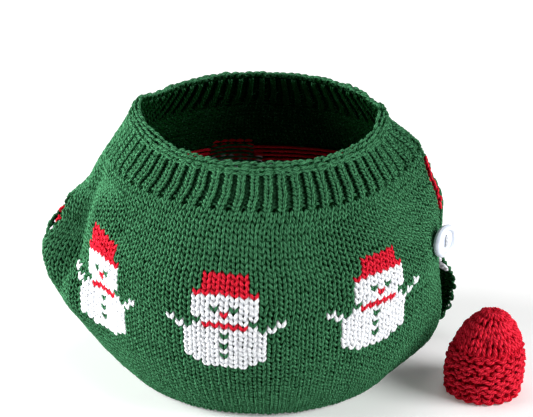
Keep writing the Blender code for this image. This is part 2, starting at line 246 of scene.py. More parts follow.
def body(azimuth, share, side):
    """Radius and height of the sheet's middle at an azimuth and share of the way up."""
    azimuth, share = np.broadcast_arrays(azimuth, share)
    radius, height = on_curve(FRONT_CURVE, share)
    to_spout = spout_weight(azimuth, share, side)
    to_handle = handle_weight(azimuth, share)
    for curve, weight in ((SPOUT_CURVE, to_spout), (HANDLE_CURVE, to_handle)):
        curve_radius, curve_height = on_curve(curve, share)
        radius = radius + weight * (curve_radius - radius)
        height = height + weight * (curve_height - height)
    if side == BACK:
        flare = soft_peak(azimuth - HANDLE_SIDE, FAR_EDGE_REACH) * slit_shape(share, *FAR_EDGE_FLARES)
        radius = radius + FAR_EDGE_FLARE * flare
        height = height + BACK_RISE * smooth_step(*BACK_RISES, share) * (1.0 - to_spout)
    return radius + ripple(azimuth, share, side), height


def handle_edge_y(share, side):
    """How far in front of (negative) the handle's plane a panel's edge runs."""
    opened = smooth_step(0.0, HANDLE_SLIT_FULL, share)
    open_half = blend(HANDLE_SLIT_HALF_AT_HEM, HANDLE_SLIT_HALF, opened)
    near_button = np.exp(-(((share - BUTTON_SHARE) / MEETING_REACH) ** 4))
    closed = smooth_step(HANDLE_SLIT_HEAD - HANDLE_SLIT_TAPER, HANDLE_SLIT_HEAD, share)
    y = blend(side * open_half, UNDER_BUTTON_Y + side * SEAM_GAP, near_button)
    return blend(y, side * SEAM_GAP / 2, closed)


def edge_azimuths(share, side):
    """The azimuths of a panel's two edges, both counted as on the front panel."""
    spout_radius, _ = on_curve(SPOUT_CURVE, share)
    handle_radius, _ = on_curve(HANDLE_CURVE, share)
    opening = SPOUT_SLIT_HALF * slit_shape(share, *SPOUT_SLIT) + SEAM_GAP / 2
    inwards = side * handle_edge_y(share, side)
    at_spout = SPOUT_SIDE + np.degrees(np.arcsin(opening / spout_radius))
    return at_spout, HANDLE_SIDE - np.degrees(np.arcsin(inwards / handle_radius))


def stitch_azimuths(stitches, share, side):
    """Azimuth of each stitch (counted from the middle one) at one share of the way up."""
    at_spout, at_handle = edge_azimuths(share, side)
    per_stitch = (at_handle - MIDDLE_AZIMUTH) / (PANEL_STITCHES - STITCHES_LEFT)
    first_pulled = (PULLED_FROM - MIDDLE_AZIMUTH) / per_stitch
    fine = np.linspace(at_spout, PULLED_FROM, PULL_STEPS)
    lengths = run_lengths(place(fine, share, side))
    along = (stitches + STITCHES_LEFT) / (first_pulled + STITCHES_LEFT)
    pulled = np.interp(along * lengths[-1], lengths, fine)
    on_body = np.where(stitches < first_pulled, pulled, MIDDLE_AZIMUTH + stitches * per_stitch)
    even = at_spout + (stitches + STITCHES_LEFT) / PANEL_STITCHES * (at_handle - at_spout)
    return blend(on_body, even, smooth_step(*PULLED_TO_EVEN, share))


def place(azimuth, share, side):
    """The points of the sheet's middle."""
    radius, height = body(azimuth, share, side)
    turn = np.radians(azimuth)
    return np.stack([radius * np.sin(turn), side * radius * np.cos(turn), height], axis=-1) + AXIS


def facing_out(azimuth, share, side):
    """Unit directions out of the sheet, away from the pot."""
    around = place(azimuth + NORMAL_TURN, share, side) - place(azimuth - NORMAL_TURN, share, side)
    low, high = (np.clip(share + step, 0.0, 1.0) for step in (-NORMAL_SHARE, NORMAL_SHARE))
    up = place(azimuth, high, side) - place(azimuth, low, side)
    return unit(side * np.cross(up, around))


# ---------------- sheets, as grids of points


class Sheet:
    """A sheet of knitting, as a grid of points and outward directions.

    Both are looked up by a share across and a share of the way up.
    """

    def __init__(self, points, outs):
        self.points = np.array(points)
        self.outs = np.array(outs)

    def mix(self, grid, across, up):
        rows, columns = grid.shape[:2]
        row = up * (rows - 1)
        column = across * (columns - 1)
        r = np.clip(np.floor(row).astype(int), 0, rows - 2)
        c = np.clip(np.floor(column).astype(int), 0, columns - 2)
        over, right = (row - r)[..., None], (column - c)[..., None]
        below = blend(grid[r, c], grid[r, c + 1], right)
        return blend(below, blend(grid[r + 1, c], grid[r + 1, c + 1], right), over)

    def at(self, across, up, depth=0.0):
        """Points that stand depth out of the sheet, and the directions out of it there."""
        across, up, depth = np.broadcast_arrays(across, up, depth)
        out = unit(self.mix(self.outs, across, up))
        return self.mix(self.points, across, up) + depth[..., None] * out, out


class Ring(Sheet):
    """A sheet that closes on itself all the way round."""

    def mix(self, grid, across, up):
        return super().mix(grid, across % 1.0, up)


def panel_sheet(side):
    rows, columns = PANEL_GRID
    stitches = np.linspace(-STITCHES_LEFT, PANEL_STITCHES - STITCHES_LEFT, columns)
    dip = RIM_DIP * np.sin(np.linspace(0.0, np.pi, columns)) * (side == FRONT)
    points, outs = [], []
    for share in np.linspace(0.0, 1.0, rows):
        azimuths = stitch_azimuths(stitches, share, side)
        shares = share - dip * smooth_step(*RIM_DIPS, share)
        points.append(place(azimuths, shares, side))
        outs.append(facing_out(azimuths, shares, side))
    return Sheet(points, outs)


def edging_sheet():
    """The strip behind the front panel's edge, across from its lap to the side that shows."""
    rows, columns = EDGING_GRID
    depth = CLOTH / 2 + SEAM_GAP + EDGING_THICKNESS / 2
    points, outs = [], []
    for share in np.linspace(*EDGING_RUNS, rows):
        _, at_edge = edge_azimuths(share, FRONT)
        radius, _ = on_curve(HANDLE_CURVE, share)
        gap = handle_edge_y(share, BACK) - handle_edge_y(share, FRONT)
        across = np.linspace(-EDGING_LAP, min(EDGING_SHOWS, EDGING_MOST_OF_GAP * gap), columns)
        azimuths = at_edge + np.degrees(across / radius)
        out = facing_out(azimuths, share, FRONT)
        points.append(place(azimuths, share, FRONT) - depth * out)
        outs.append(out)
    return Sheet(points, outs)


def knob_sheet():
    """The knob cover's wall, all the way round and up to its gathered crown."""
    shares = np.linspace(0.0, 1.0, KNOB_GRID[0])[:, None]
    turns = np.linspace(0.0, FULL_TURN, KNOB_GRID[1])
    radius, height = on_curve(even_curve(KNOB_COVER_LINE), shares)
    slope_r, slope_z = np.gradient(radius, axis=0), np.gradient(height, axis=0)
    beside = np.clip(1.0 - np.abs(turns - KNOB_FOLD.turn) / KNOB_FOLD.reach, 0.0, 1.0)
    above = np.clip(1.0 - np.abs(shares - KNOB_FOLD.share) / KNOB_FOLD.height, 0.0, 1.0)
    reach = radius - KNOB_FOLD.depth * beside**2 * above
    lean = (height / KNOB_COVER_LINE[-1][1]) ** 2
    x, y = (AXIS[i] + KNOB_COVER_PLACE[i] + lean * KNOB_COVER_LEAN[i] for i in (0, 1))
    points = (x + reach * np.cos(turns), y + reach * np.sin(turns), height)
    outs = (slope_z * np.cos(turns), slope_z * np.sin(turns), -slope_r)
    points, outs = (np.stack(np.broadcast_arrays(*grid), axis=-1) for grid in (points, outs))
    return Ring(points, unit(outs))


# ---------------- strands of yarn

SIDES = 5  # of a strand of the panels
SAMPLES = 10  # points of a strand along one stitch

# The flat map of a yarn, in lines of strand.
MAP_SPREAD = 6.0  # how much longer a line is than the square root of the yarn's length
SHORTEST_LINE = 12.0
LINE_ROOM = 1.03  # length of the map for a line's length
LINE_FILL = Passage(0.06, 0.94)  # of a line's height
CAP_PLACE = (0.99, 0.001)  # of the strands' ends
CAP_SIZE = (0.008, 0.001)


class Skein:
    """Lengths of one yarn, joined into one mesh of round strands."""

    def __init__(self, sides=SIDES):
        self.sides = sides
        self.turns = np.linspace(0.0, FULL_TURN, sides, endpoint=False)
        self.vertices, self.runs, self.lengths, self.levels = [], [], [], []

    def add(self, points, outs, radii, level=0.0):
        """One strand along the points, in millimetres; outs set how its rings are turned.

        Its level is 1 where it stands out of the knitting and -1 where it dips in; the yarn's material
        paints shade where the level is low.
        """
        along = unit(np.gradient(points, axis=0))
        outs = unit(outs - (outs * along).sum(axis=1, keepdims=True) * along)
        across = np.cross(along, outs)
        cos, sin = np.cos(self.turns)[None, :, None], np.sin(self.turns)[None, :, None]
        spokes = cos * outs[:, None] + sin * across[:, None]
        radii = np.broadcast_to(radii, len(points))
        rings = points[:, None] + radii[:, None, None] * spokes
        self.vertices.append(rings.reshape(-1, 3))
        self.lengths.append(run_lengths(points))
        self.runs.append(len(points))
        self.levels.append(np.broadcast_to(level, len(points)))

    def mesh(self, name):
        """One mesh that holds a closed tube for each strand.

        Its attribute yarn_run is (cosine round a strand, sine round it, millimetres along it), and
        its second attribute holds the strands' level, from which the yarn's material paints shade where they
        dip in.
        """
        total = sum(self.runs)
        run = np.empty((total, self.sides, 3))
        run[:, :, 0] = np.cos(self.turns)
        run[:, :, 1] = np.sin(self.turns)
        run[:, :, 2] = np.concatenate(self.lengths)[:, None]
        levels = np.repeat(np.concatenate(self.levels), self.sides)
        starts = np.concatenate([[0], np.cumsum(self.runs)])
        inner = np.ones(total, bool)
        inner[starts[1:] - 1] = False
        ring = np.nonzero(inner)[0]
        side = np.arange(self.sides)
        here = ring[:, None] * self.sides + side
        beside = ring[:, None] * self.sides + (side + 1) % self.sides
        walls = np.stack([here, here + self.sides, beside + self.sides, beside], axis=-1)
        first = starts[:-1, None] * self.sides + side
        last = (starts[1:, None] - 1) * self.sides + side[::-1]
        mesh = mesh_of(name, np.concatenate(self.vertices), [walls.reshape(-1, 4), first, last])
        for label, kind, field, values in (
            ("yarn_run", "FLOAT_VECTOR", "vector", run),
            ("stands_out", "FLOAT", "value", levels),
        ):
            attribute = mesh.attributes.new(label, kind, "POINT")
            attribute.data.foreach_set(field, values.reshape(-1).astype(np.float32))
        self.lay_out(mesh, ring)
        return mesh

    def lay_out(self, mesh, ring):
        """A flat map in which the strands lie end to end, cut into lines one under another."""
        offsets = np.concatenate([[0.0], np.cumsum([length[-1] for length in self.lengths])])
        along = np.concatenate([length + offset for length, offset in zip(self.lengths, offsets)])
        width = max(np.sqrt(MAP_SPREAD * along[-1]), SHORTEST_LINE)
        lines = int(along[-1] // width) + 1
        line = along[ring] // width
        heights = (line[:, None] + np.linspace(*LINE_FILL, self.sides + 1)) / lines
        v0, v1 = heights[:, :-1], heights[:, 1:]
        u0, u1 = ((along[at] - line * width) / (LINE_ROOM * width) for at in (ring, ring + 1))
        u0, u1 = (np.broadcast_to(u[:, None], v0.shape) for u in (u0, u1))
        walls = np.stack([u0, v0, u1, v0, u1, v1, u0, v1], axis=-1).reshape(-1)
        cap = CAP_PLACE + np.stack([np.cos(self.turns), np.sin(self.turns)], axis=-1) * CAP_SIZE
        corners = np.concatenate([walls, np.tile(cap.reshape(-1), 2 * len(self.runs))])
        layer = mesh.uv_layers.new(name="OFBake")
        layer.data.foreach_set("uv", corners.astype(np.float32))


def mesh_of(name, vertices, faces):
    """A smooth mesh of vertices in millimetres.

    Its faces come as arrays of their corners, and all faces of one array have equally many.
    """
    mesh = bpy.data.meshes.new(name)
    mesh.vertices.add(len(vertices))
    mesh.vertices.foreach_set("co", (vertices * MM).astype(np.float32).reshape(-1))
    corners = np.concatenate([group.reshape(-1) for group in faces])
    counts = np.concatenate([np.full(len(group), group.shape[1]) for group in faces])
    mesh.loops.add(len(corners))
    mesh.loops.foreach_set("vertex_index", corners.astype(np.int32))
    mesh.polygons.add(len(counts))
    mesh.polygons.foreach_set("loop_start", (np.cumsum(counts) - counts).astype(np.int32))
    mesh.update(calc_edges=True)
    mesh.validate()
    mesh.shade_smooth()
    return mesh


def thin_sheet(name, sheet, across, up, middle, half):
    """A closed mesh that follows a sheet, half a thickness to both sides of its middle."""
    across, up = np.meshgrid(across, up)
    outer, inner = (sheet.at(across, up, middle + side * half)[0] for side in (1, -1))
    number = np.arange(across.size).reshape(across.shape)
    corners = [number[:-1, :-1], number[:-1, 1:], number[1:, 1:], number[1:, :-1]]
    face = np.stack(corners, axis=-1).reshape(-1, 4)
    rim = np.concatenate([number[0, :], number[1:, -1], number[-1, -2::-1], number[-2:0:-1, 0]])
    after = np.roll(rim, -1)
    edge = np.stack([after, rim, rim + number.size, after + number.size], axis=-1)
    quads = np.concatenate([face, face[:, ::-1] + number.size, edge])
    return mesh_of(name, np.concatenate([outer.reshape(-1, 3), inner.reshape(-1, 3)]), [quads])


def add_object(name, data):
    added = bpy.data.objects.new(name, data)
    bpy.context.scene.collection.objects.link(added)
    return added


def add_piece(name, mesh, material):
    piece = add_object(name, mesh)
    piece.data.materials.append(material)
    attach(piece, "root")
    return piece


def add_yarn(name, skein, colour):
    return add_piece(name, skein.mesh(name), yarn_material(colour))


def add_sheet(name, colour, *shape):
    """The thin dark sheet inside some loops, painted shade that shows between them; its shape is what
    thin_sheet takes.
    """
    return add_piece(name, thin_sheet(name, *shape), shade_sheet_material(colour))


# ---------------- the panels' pattern

BODY_STITCHES = 65
BODY_COURSES = 45
RIB_COURSES = 11
ALL_COURSES = BODY_COURSES + RIB_COURSES
RIB_FOOT = 0.830  # shares of the way up
RIB_HEAD = 0.984
MOTIF_FOOT = 16  # the course of the snowmen's lowest row
MOTIF_MIDDLES = (13, 31, 49)  # the columns of their noses

# One snowman, from its hat down: g is the ground, w white and r red.
SNOWMAN = [
    "ggggrrrrrgggg",
    "ggggrrrrrgggg",
    "ggggrrrrrgggg",
    "gggrrrrrrrggg",
    "gggwwwwwwwggg",
    "gggwwwwwwwggg",
    "gggwwgwgwwggg",
    "gggwwwrwwwggg",
    "wgggwwwwwgggw",
    "gwgwrrrrrwgwg",
    "ggwwwwwwwwwgg",
    "ggwwwwgwwwwgg",
    "ggwwwwwwwwwgg",
    "ggwwwwgwwwwgg",
    "ggwwwwwwwwwgg",
    "ggwwwwgwwwwgg",
    "gggwwwwwwwggg",
    "ggggwwwwwgggg",
]

# Stitches lie wider over the snowmen, where yarns are carried behind them, than between them:
# (stitches from the spout's edge, share across).
ACROSS_MARKS = [
    (0, 0.0), (7, 0.081), (9, 0.122), (20, 0.288), (25, 0.361), (38, 0.576), (43, 0.648),
    (56, 0.857), (65, 1.0),
]
# The courses are drawn up towards the handle: (stitches from the spout's edge, courses up).
DRAWN_UP = [
    (0, -2.20), (8, -2.30), (13, -0.40), (19, -1.30), (26, -1.00), (31, -0.12), (37, -0.95),
    (43, -0.50), (48, 1.25), (52, 1.35), (56, 0.90), (65, 1.00),
]
# Where the cloth is dragged round the spout and the handle, its stitches are shifted.
Pull = namedtuple("Pull", "stitch reach across up grows")
PULLS = [
    Pull(stitch=9.5, reach=6.5, across=-2.6, up=0.7, grows=Passage(28.5, 33.0)),
    Pull(stitch=50.5, reach=9.0, across=0.95, up=0.0, grows=Passage(30.5, 34.5)),
]
PULLS_END = Passage(38.0, 44.0)  # courses
STITCHES_EVEN_OUT = Passage(42.3, 48.2)  # courses
RIB_DRIFT = 2.0  # stitches
DRIFT_REACH = 8.0
RIM_FAN = 1.3  # stitches by which the rib fans out towards the rim, next to the spout
RIM_FANS = Passage(47.0, 56.0)  # courses
FAN_REACH = 18.0  # stitches
FAN_START = 2.0
KNIT_SHARE = 0.64  # of a pair of rib columns
PLEATS_SET = 4.0  # courses in which the knit columns of the rib widen
RIB_SETTLES = 2.0  # courses in which the rib grows to its full depth
RIB_TURN = 4.5  # how sharply a knit column passes into a purl one
RIB_DEEPENS = (Passage(3, 24), Passage(50, 62))  # columns
RIB_AT_SIDES = 0.22


def stitch_colours():
    """The colour of each stitch of a panel, by course from the hem and column from the spout."""
    chart = np.full((ALL_COURSES, BODY_STITCHES), "g")
    half = len(SNOWMAN[0]) // 2
    for middle in MOTIF_MIDDLES:
        for row, stitches in enumerate(reversed(SNOWMAN)):
            chart[MOTIF_FOOT + row, middle - half : middle + half + 1] = list(stitches)
    return chart


def marked(marks, stitches):
    """The marks' values at a number of stitches, running on in a line past both ends."""
    at, values = np.transpose(marks)
    pitch = (values[-1] - values[-2]) / (at[-1] - at[-2])
    past = np.maximum(stitches - at[-1], 0.0) + np.minimum(stitches, 0.0)
    return np.interp(stitches, at, values) + past * pitch


def course_share(courses):
    """Share of the way up the sheet, for a number of courses from the hem."""
    courses_up = [0.0, BODY_COURSES, ALL_COURSES, ALL_COURSES + 1.0]
    return np.interp(courses, courses_up, [0.0, RIB_FOOT, RIB_HEAD, 1.0])


def rib_drift(stitches):
    """How many stitches nearer to the spout the rib stands than the body's even count."""
    from_spout, from_handle = (
        np.clip(away / DRIFT_REACH, 0.0, 1.0) for away in (stitches, BODY_STITCHES - stitches)
    )
    return RIB_DRIFT * from_spout * from_handle


def pull_strength(pull, stitches, course):
    grown = smooth_step(*pull.grows, course) * (1.0 - smooth_step(*PULLS_END, course))
    return soft_peak(stitches - pull.stitch, pull.reach) * grown


def body_share(stitches, course):
    """Share across the sheet for a number of the body's stitches from the spout's edge."""
    fan = RIM_FAN * np.clip(1.0 - stitches / FAN_REACH, 0.0, 1.0) * smooth_step(*RIM_FANS, course)
    fan = fan * np.clip(stitches / FAN_START, 0.0, 1.0)
    even = (stitches - rib_drift(stitches) + fan) / BODY_STITCHES
    moved = sum(pull.across * pull_strength(pull, stitches, course) for pull in PULLS)
    uneven = marked(ACROSS_MARKS, stitches + moved)
    return blend(uneven, even, smooth_step(*STITCHES_EVEN_OUT, course))


def drawn_up(stitches, rise):
    """Courses by which a point of the body stands higher than the even count."""
    middle = np.sin(np.pi * np.clip(rise / BODY_COURSES, 0.0, 1.0))
    lift = sum(pull.up * pull_strength(pull, stitches, rise) for pull in PULLS)
    return marked(DRAWN_UP, stitches) * middle + lift


def rib_fullness(columns):
    """1 where the rib is deep, and less towards the sides, where the cloth is stretched."""
    rising, falling = RIB_DEEPENS
    deep = smooth_step(*rising, columns) * (1.0 - smooth_step(*falling, columns))
    return blend(RIB_AT_SIDES, 1.0, deep)


def rib_share(columns, course):
    """Share across the sheet for a number of rib columns from the spout's edge.

    Each stands on one stitch of the body, and the knit columns widen over the purl ones.
    """
    numbers = np.arange(BODY_STITCHES + 1)
    wider = (KNIT_SHARE - 0.5) * rib_fullness(numbers[:-1] + 0.5)
    widths = 0.5 + np.where(numbers[:-1] % 2 == 0, -wider, wider)
    pleated = np.concatenate([[0.0], widths.cumsum()]) / widths.sum() * BODY_STITCHES
    pleats = np.interp(columns, numbers, pleated - numbers)
    share = np.clip((course - BODY_COURSES) / PLEATS_SET, 0.0, 1.0)
    return body_share(columns, course) + share * pleats / BODY_STITCHES


# ---------------- knitting

# The sizes of a loop. Its spread is in stitches and its rise in courses.
Loop = namedtuple("Loop", "radius spread rise depth plump rib_depth")
LOWEST_LOOP = 0.12  # courses over the hem
UNEVEN = (0.05, 0.07, 0.10, 0.07)  # shifts across, up and out, and a change of thickness
MOST_UNEVEN = 2.0  # times these


def panel_loop():
    settings = bpy.context.scene.cosy_yarn
    lengths = [length / MM for length in (settings.radius, settings.depth, settings.rib_depth)]
    radius, depth, rib_depth = lengths
    return Loop(radius, settings.spread, settings.rise, depth, settings.plump, rib_depth)


def draw_odds(draws, sizes, *shape):
    """Random changes of the given sizes, a row of them for each."""
    odds = np.clip(draws.normal(size=(len(sizes), *shape)), -MOST_UNEVEN, MOST_UNEVEN)
    return odds * np.reshape(sizes, (-1, *[1] * len(shape)))


def loops(columns, loop, samples=SAMPLES):
    """A course of knit loops: stitches along it, courses up, and depth out of the sheet."""
    along = np.arange(columns * samples + 1) / samples
    turn = FULL_TURN * along
    across = along + loop.spread * np.sin(2 * turn)
    up = 0.5 - loop.rise * np.cos(turn)
    depth = -loop.depth * np.cos(2 * turn)
    radii = loop.radius * (1.0 - loop.plump * np.cos(2 * turn))
    return along, across, up, depth, radii


def knit_course(sheet, course, odds, loop):
    """One course: stocking stitch on the panel's body, and knit one, purl one in its rib."""
    along, across, up, depth, radii = loops(BODY_STITCHES, loop)
    columns = np.arange(BODY_STITCHES + 1)
    aside, higher, farther, thicker = (np.interp(along, columns, odd[course]) for odd in odds)
    rise = course + up + higher
    level = depth / loop.depth
    if course < BODY_COURSES:
        rise = np.maximum(rise, LOWEST_LOOP)
        share = body_share(across + aside, rise)
        rise = rise + drawn_up(across + aside, rise)
    else:
        share = rib_share(across + aside, course + up)
        turned = np.clip(-RIB_TURN * np.cos(np.pi * (along - 0.5)), -1.0, 1.0)
        settled = np.clip((course + 1.0 - BODY_COURSES) / RIB_SETTLES, 0.0, 1.0)
        depth = (depth + loop.rib_depth * settled * rib_fullness(across)) * turned
        level = level * turned
    points, outs = sheet.at(share, course_share(rise), depth + farther)
    return points, outs, radii * (1.0 + thicker), level


def runs_of(colours):
    """(colour, first stitch, one past the last) for each run of one colour along a course."""
    changes = np.nonzero(colours[1:] != colours[:-1])[0] + 1
    bounds = [0, *changes, len(colours)]
    return [(colours[start], start, end) for start, end in zip(bounds, bounds[1:])]


# A link of a crocheted chain: places along it in links, swings aside, and heights in radii.
LINK_PLACES = np.array([-0.10, 0.15, 0.50, 0.85, 1.22, 1.40, 1.22, 0.85, 0.50, 0.15, -0.10])
LINK_SWINGS = np.array([0.0, 0.30, 0.75, 1.0, 0.70, 0.0, -0.70, -1.0, -0.75, -0.30, 0.0])
LINK_HEIGHTS = np.array([-0.9, -0.1, 0.5, 0.6, 0.2, -0.5, 0.2, 0.6, 0.5, -0.1, -0.9])
UNEVEN_LINK = np.array([0.12, 0.14, 0.18, 0.07])  # in its place, width, middle and thickness
THICK_STANDS = 5.0  # radii by which a link stands higher for each radius that it is thicker
LINK_STEPS = 2


def chain(skein, points, outs, links, width, radius, draws):
    """Uneven links of a chain along a line, each drawn through the one before."""
    lengths = run_lengths(points)
    aside = np.cross(unit(np.gradient(points, axis=0)), outs)
    odds = np.clip(draws.normal(size=(links, 4)), -MOST_UNEVEN, MOST_UNEVEN) * UNEVEN_LINK
    steps = np.arange(LINK_STEPS * (len(LINK_HEIGHTS) - 1) + 1) / LINK_STEPS
    heights = np.interp(steps, np.arange(len(LINK_HEIGHTS)), LINK_HEIGHTS)
    levels = np.clip(heights / LINK_HEIGHTS.max(), -1.0, 1.0)
    for link, (later, wider, sideways, thicker) in enumerate(odds):
        at = np.clip((link + later + LINK_PLACES) / links, 0.0, 1.0) * lengths[-1]
        middle, facing, side = (
            np.stack([np.interp(at, lengths, values) for values in grid.T], axis=-1)
            for grid in (points, outs, aside)
        )
        swung = (sideways + LINK_SWINGS * (1.0 + wider)) * width / 2
        raised = (LINK_HEIGHTS + THICK_STANDS * thicker) * radius
        line = middle + swung[:, None] * side + raised[:, None] * facing
        line, facing = (fine_line(grid, LINK_STEPS) for grid in (line, facing))
        skein.add(line, facing, radius * (1.0 + thicker), levels)


EDGE_INSIDE = 0.02  # share across, from which the way out of an edge is measured
ARC_STEPS = 9


def turn_at_edge(skein, sheet, edge, lower, upper, radius, reach):
    """The arc of yarn that joins the ends of two courses at one edge of the sheet."""
    (start, start_out), (end, end_out) = lower, upper
    shares = course_share(np.linspace(0.0, ALL_COURSES, 4 * ALL_COURSES + 1))
    rim, _ = sheet.at(edge, shares)
    nearest = np.argmin(np.linalg.norm(rim - start, axis=1))
    inside, _ = sheet.at(abs(edge - EDGE_INSIDE), shares[nearest])
    away = unit(rim[nearest] - inside) * reach
    t = np.linspace(0.0, 1.0, ARC_STEPS)[:, None]
    bowed = blend(start + away, end + away, t)
    line = (1 - t) ** 3 * start + 3 * (1 - t) * t * bowed + t**3 * end
    skein.add(line, blend(start_out, end_out, t), radius)


# The yarn of each colour in the chart. The ground's skeins are named by their bands.
ChartYarn = namedtuple("ChartYarn", "skein fuller carried_depth edge_reach")
CHART_YARNS = {
    "g": ChartYarn(None, 1.0, 1.55, 1.1),
    "w": ChartYarn("white", 1.24, 1.80, 2.6),
    "r": ChartYarn("red", 1.14, 2.15, 2.6),
}
BANDS = {
    "hem": range(0, 16),
    "middle": range(16, 34),
    "shoulder": range(34, BODY_COURSES),
    "rib": range(BODY_COURSES, ALL_COURSES),
}
CARRIED_THIN = 0.92
CARRIED_SETTLES = 0.7  # stitches in which a carried yarn goes to the back
CARRIED_PAST_EDGE = 1.5  # stitches from an edge where it lies at the back anyway
CARRIED_WAVE = 0.22
CARRIED_UP = 0.25  # courses
CAUGHT_EVERY = 5.0  # stitches


def carried_yarn(sheet, course, start, end, loop, depth):
    """A yarn carried behind the knitting from one stitch to another, caught in every fifth."""
    along = np.linspace(start, end, 2 * int(end - start) + 1)
    settled = smooth_step(0.0, CARRIED_SETTLES, np.minimum(along - start, end - along))
    at_edge = np.minimum(along, BODY_STITCHES - along) < CARRIED_PAST_EDGE
    settled = np.where(at_edge, 1.0, settled)
    depth = depth + CARRIED_WAVE * np.cos(FULL_TURN * along / CAUGHT_EVERY)
    rise = course + blend(0.5 - loop.rise, CARRIED_UP, settled)
    up = course_share(rise + drawn_up(along, rise))
    return sheet.at(body_share(along, rise), up, -blend(loop.depth, depth, settled))


class Panel:
    """A panel in the making: its sheet, its skeins and the ends of its strands."""

    def __init__(self, side):
        self.sheet = panel_sheet(side)
        self.loop = panel_loop()
        self.skeins = {name: Skein() for name in (*BANDS, "white", "red")}
        self.ends = {}

    def yarn_for(self, colour, course):
        """The skein and radius of a colour's yarn at a course."""
        yarn = CHART_YARNS[colour]
        band = next(name for name, courses in BANDS.items() if course in courses)
        return self.skeins[yarn.skein or band], self.loop.radius * yarn.fuller

    def knit(self, course, colours, odds):
        """A course's loops in runs of one colour, and the yarns carried behind them."""
        points, outs, radii, levels = knit_course(self.sheet, course, odds, self.loop)
        for edge in (0, 1):
            self.ends["g", course, edge] = (points[-edge], outs[-edge])
        for colour, start, end in runs_of(colours):
            run = slice(start * SAMPLES, end * SAMPLES + 1)
            skein, _ = self.yarn_for(colour, course)
            skein.add(points[run], outs[run], radii[run] * CHART_YARNS[colour].fuller, levels[run])
        for colour in sorted(set(colours)):
            for used, start, end in runs_of(colours == colour):
                if not used:
                    self.carry(colour, course, start, end)

    def carry(self, colour, course, start, end):
        skein, radius = self.yarn_for(colour, course)
        depth = CHART_YARNS[colour].carried_depth
        line, facing = carried_yarn(self.sheet, course, start, end, self.loop, depth)
        skein.add(line, facing, radius * CARRIED_THIN)
        for edge, stitch in ((0, start), (1, end)):
            if stitch == edge * BODY_STITCHES:
                self.ends[colour, course, edge] = (line[-edge], facing[-edge])

    def turn_edges(self):
        """The arcs in which each yarn turns back at the edges, from course to course."""
        for colour, yarn in CHART_YARNS.items():
            for course in range(ALL_COURSES - 1):
                edge = 1 - course % 2
                lower, upper = (self.ends.get((colour, near, edge)) for near in (course, course + 1))
                if lower and upper:
                    skein, radius = self.yarn_for(colour, course)
                    turn_at_edge(skein, self.sheet, edge, lower, upper, radius, yarn.edge_reach)


CAST_ON_SAMPLES = 6
CAST_ON_RISE = 0.30  # courses
CAST_ON_WAVE = (0.05, 0.55)  # courses up and millimetres out
ChainRow = namedtuple("ChainRow", "place depth width fuller")
CAST_OFF_ROWS = [
    ChainRow(0.981, 1.15, 2.3, 0.95),
    ChainRow(0.994, 1.10, 2.6, 1.00),
    ChainRow(1.004, -0.10, 2.7, 1.08),
]
CAST_OFF_LINKS = 49
CHAIN_STEPS = 241


def cast_on(skein, sheet, radius):
    """The strand that the lowest loops stand on."""
    along = np.linspace(0.0, BODY_STITCHES, BODY_STITCHES * CAST_ON_SAMPLES + 1)
    up, out = CAST_ON_WAVE
    share = course_share(CAST_ON_RISE + up * np.cos(FULL_TURN * along))
    points, outs = sheet.at(body_share(along, 0), share, out * np.sin(FULL_TURN * along))
    skein.add(points, outs, radius)


def cast_off(skein, sheet, radius, seed):
    """The chained rows along the top, turned over to both sides of the edge."""
    draws = np.random.default_rng(seed)
    for row in CAST_OFF_ROWS:
        points, outs = sheet.at(np.linspace(0.0, 1.0, CHAIN_STEPS), row.place, row.depth)
        chain(skein, points, outs, CAST_OFF_LINKS, row.width, radius * row.fuller, draws)


BACKING_HALF = 0.28  # half the thickness of the sheet inside the loops
BACKING_IN = 0.25  # how far it lies towards the pot from their middle
BACKING_EDGE = 0.004  # share across that it stops short of the edges
BACKING_ROWS = (26, 10)  # on the body and in the rib
BACKING_TOP = 0.7  # courses over the rib
BACKING_PLEAT = 0.8  # of the rib's depth
BACKING_PLEATS = Passage(RIB_FOOT, RIB_FOOT + 0.04)


def backing(name, sheet, loop):
    """The dark sheet inside the loops of a panel, pleated with the rib: painted shade between the loops."""
    across = np.linspace(BACKING_EDGE, 1.0 - BACKING_EDGE, 2 * BODY_STITCHES + 1)
    on_body = np.linspace(0.0, BODY_COURSES, BACKING_ROWS[0])
    in_rib = np.linspace(BODY_COURSES, ALL_COURSES + BACKING_TOP, BACKING_ROWS[1])
    up = course_share(np.concatenate([on_body, in_rib[1:]]))
    pleat = loop.rib_depth * rib_fullness(across * BODY_STITCHES)
    pleat = BACKING_PLEAT * pleat * smooth_step(*BACKING_PLEATS, up)[:, None]
    wave = -pleat * np.cos(np.pi * (across * BODY_STITCHES - 0.5))
    return add_sheet(name, "green", sheet, across, up, wave - BACKING_IN, BACKING_HALF)


def knit_panel(name, side, seed):
    """A panel's loops in every colour, over the thin sheet that they hide."""
    panel = Panel(side)
    odds = draw_odds(np.random.default_rng(seed), UNEVEN, ALL_COURSES, BODY_STITCHES + 1)
    for course, colours in enumerate(stitch_colours()):
        panel.knit(course, colours, odds)
    panel.turn_edges()
    cast_on(panel.skeins["hem"], panel.sheet, panel.loop.radius)
    cast_off(panel.skeins["rib"], panel.sheet, panel.loop.radius, seed + 10)
    for part, skein in panel.skeins.items():
        add_yarn(f"{name}_{part}_loops", skein, "green" if part in BANDS else part)
    base = backing(f"{name}_sheet", panel.sheet, panel.loop)
    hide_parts(f"{name}_panel")


# ---------------- seams and edging

Seam = namedtuple("Seam", "edge start end links")
SEAMS = [
    Seam(0.0, 0.012, SPOUT_SLIT.start + 0.02, 21),
    Seam(0.0, SPOUT_SLIT.end - 0.02, 0.985, 16),
    Seam(1.0, HANDLE_SLIT_HEAD - 0.01, 0.985, 7),
]
SEAM_WIDTH = 2.7
SEAM_DEPTH = 0.1
SEAM_STEPS = 8  # points for each link
SEAM_SEED = 32

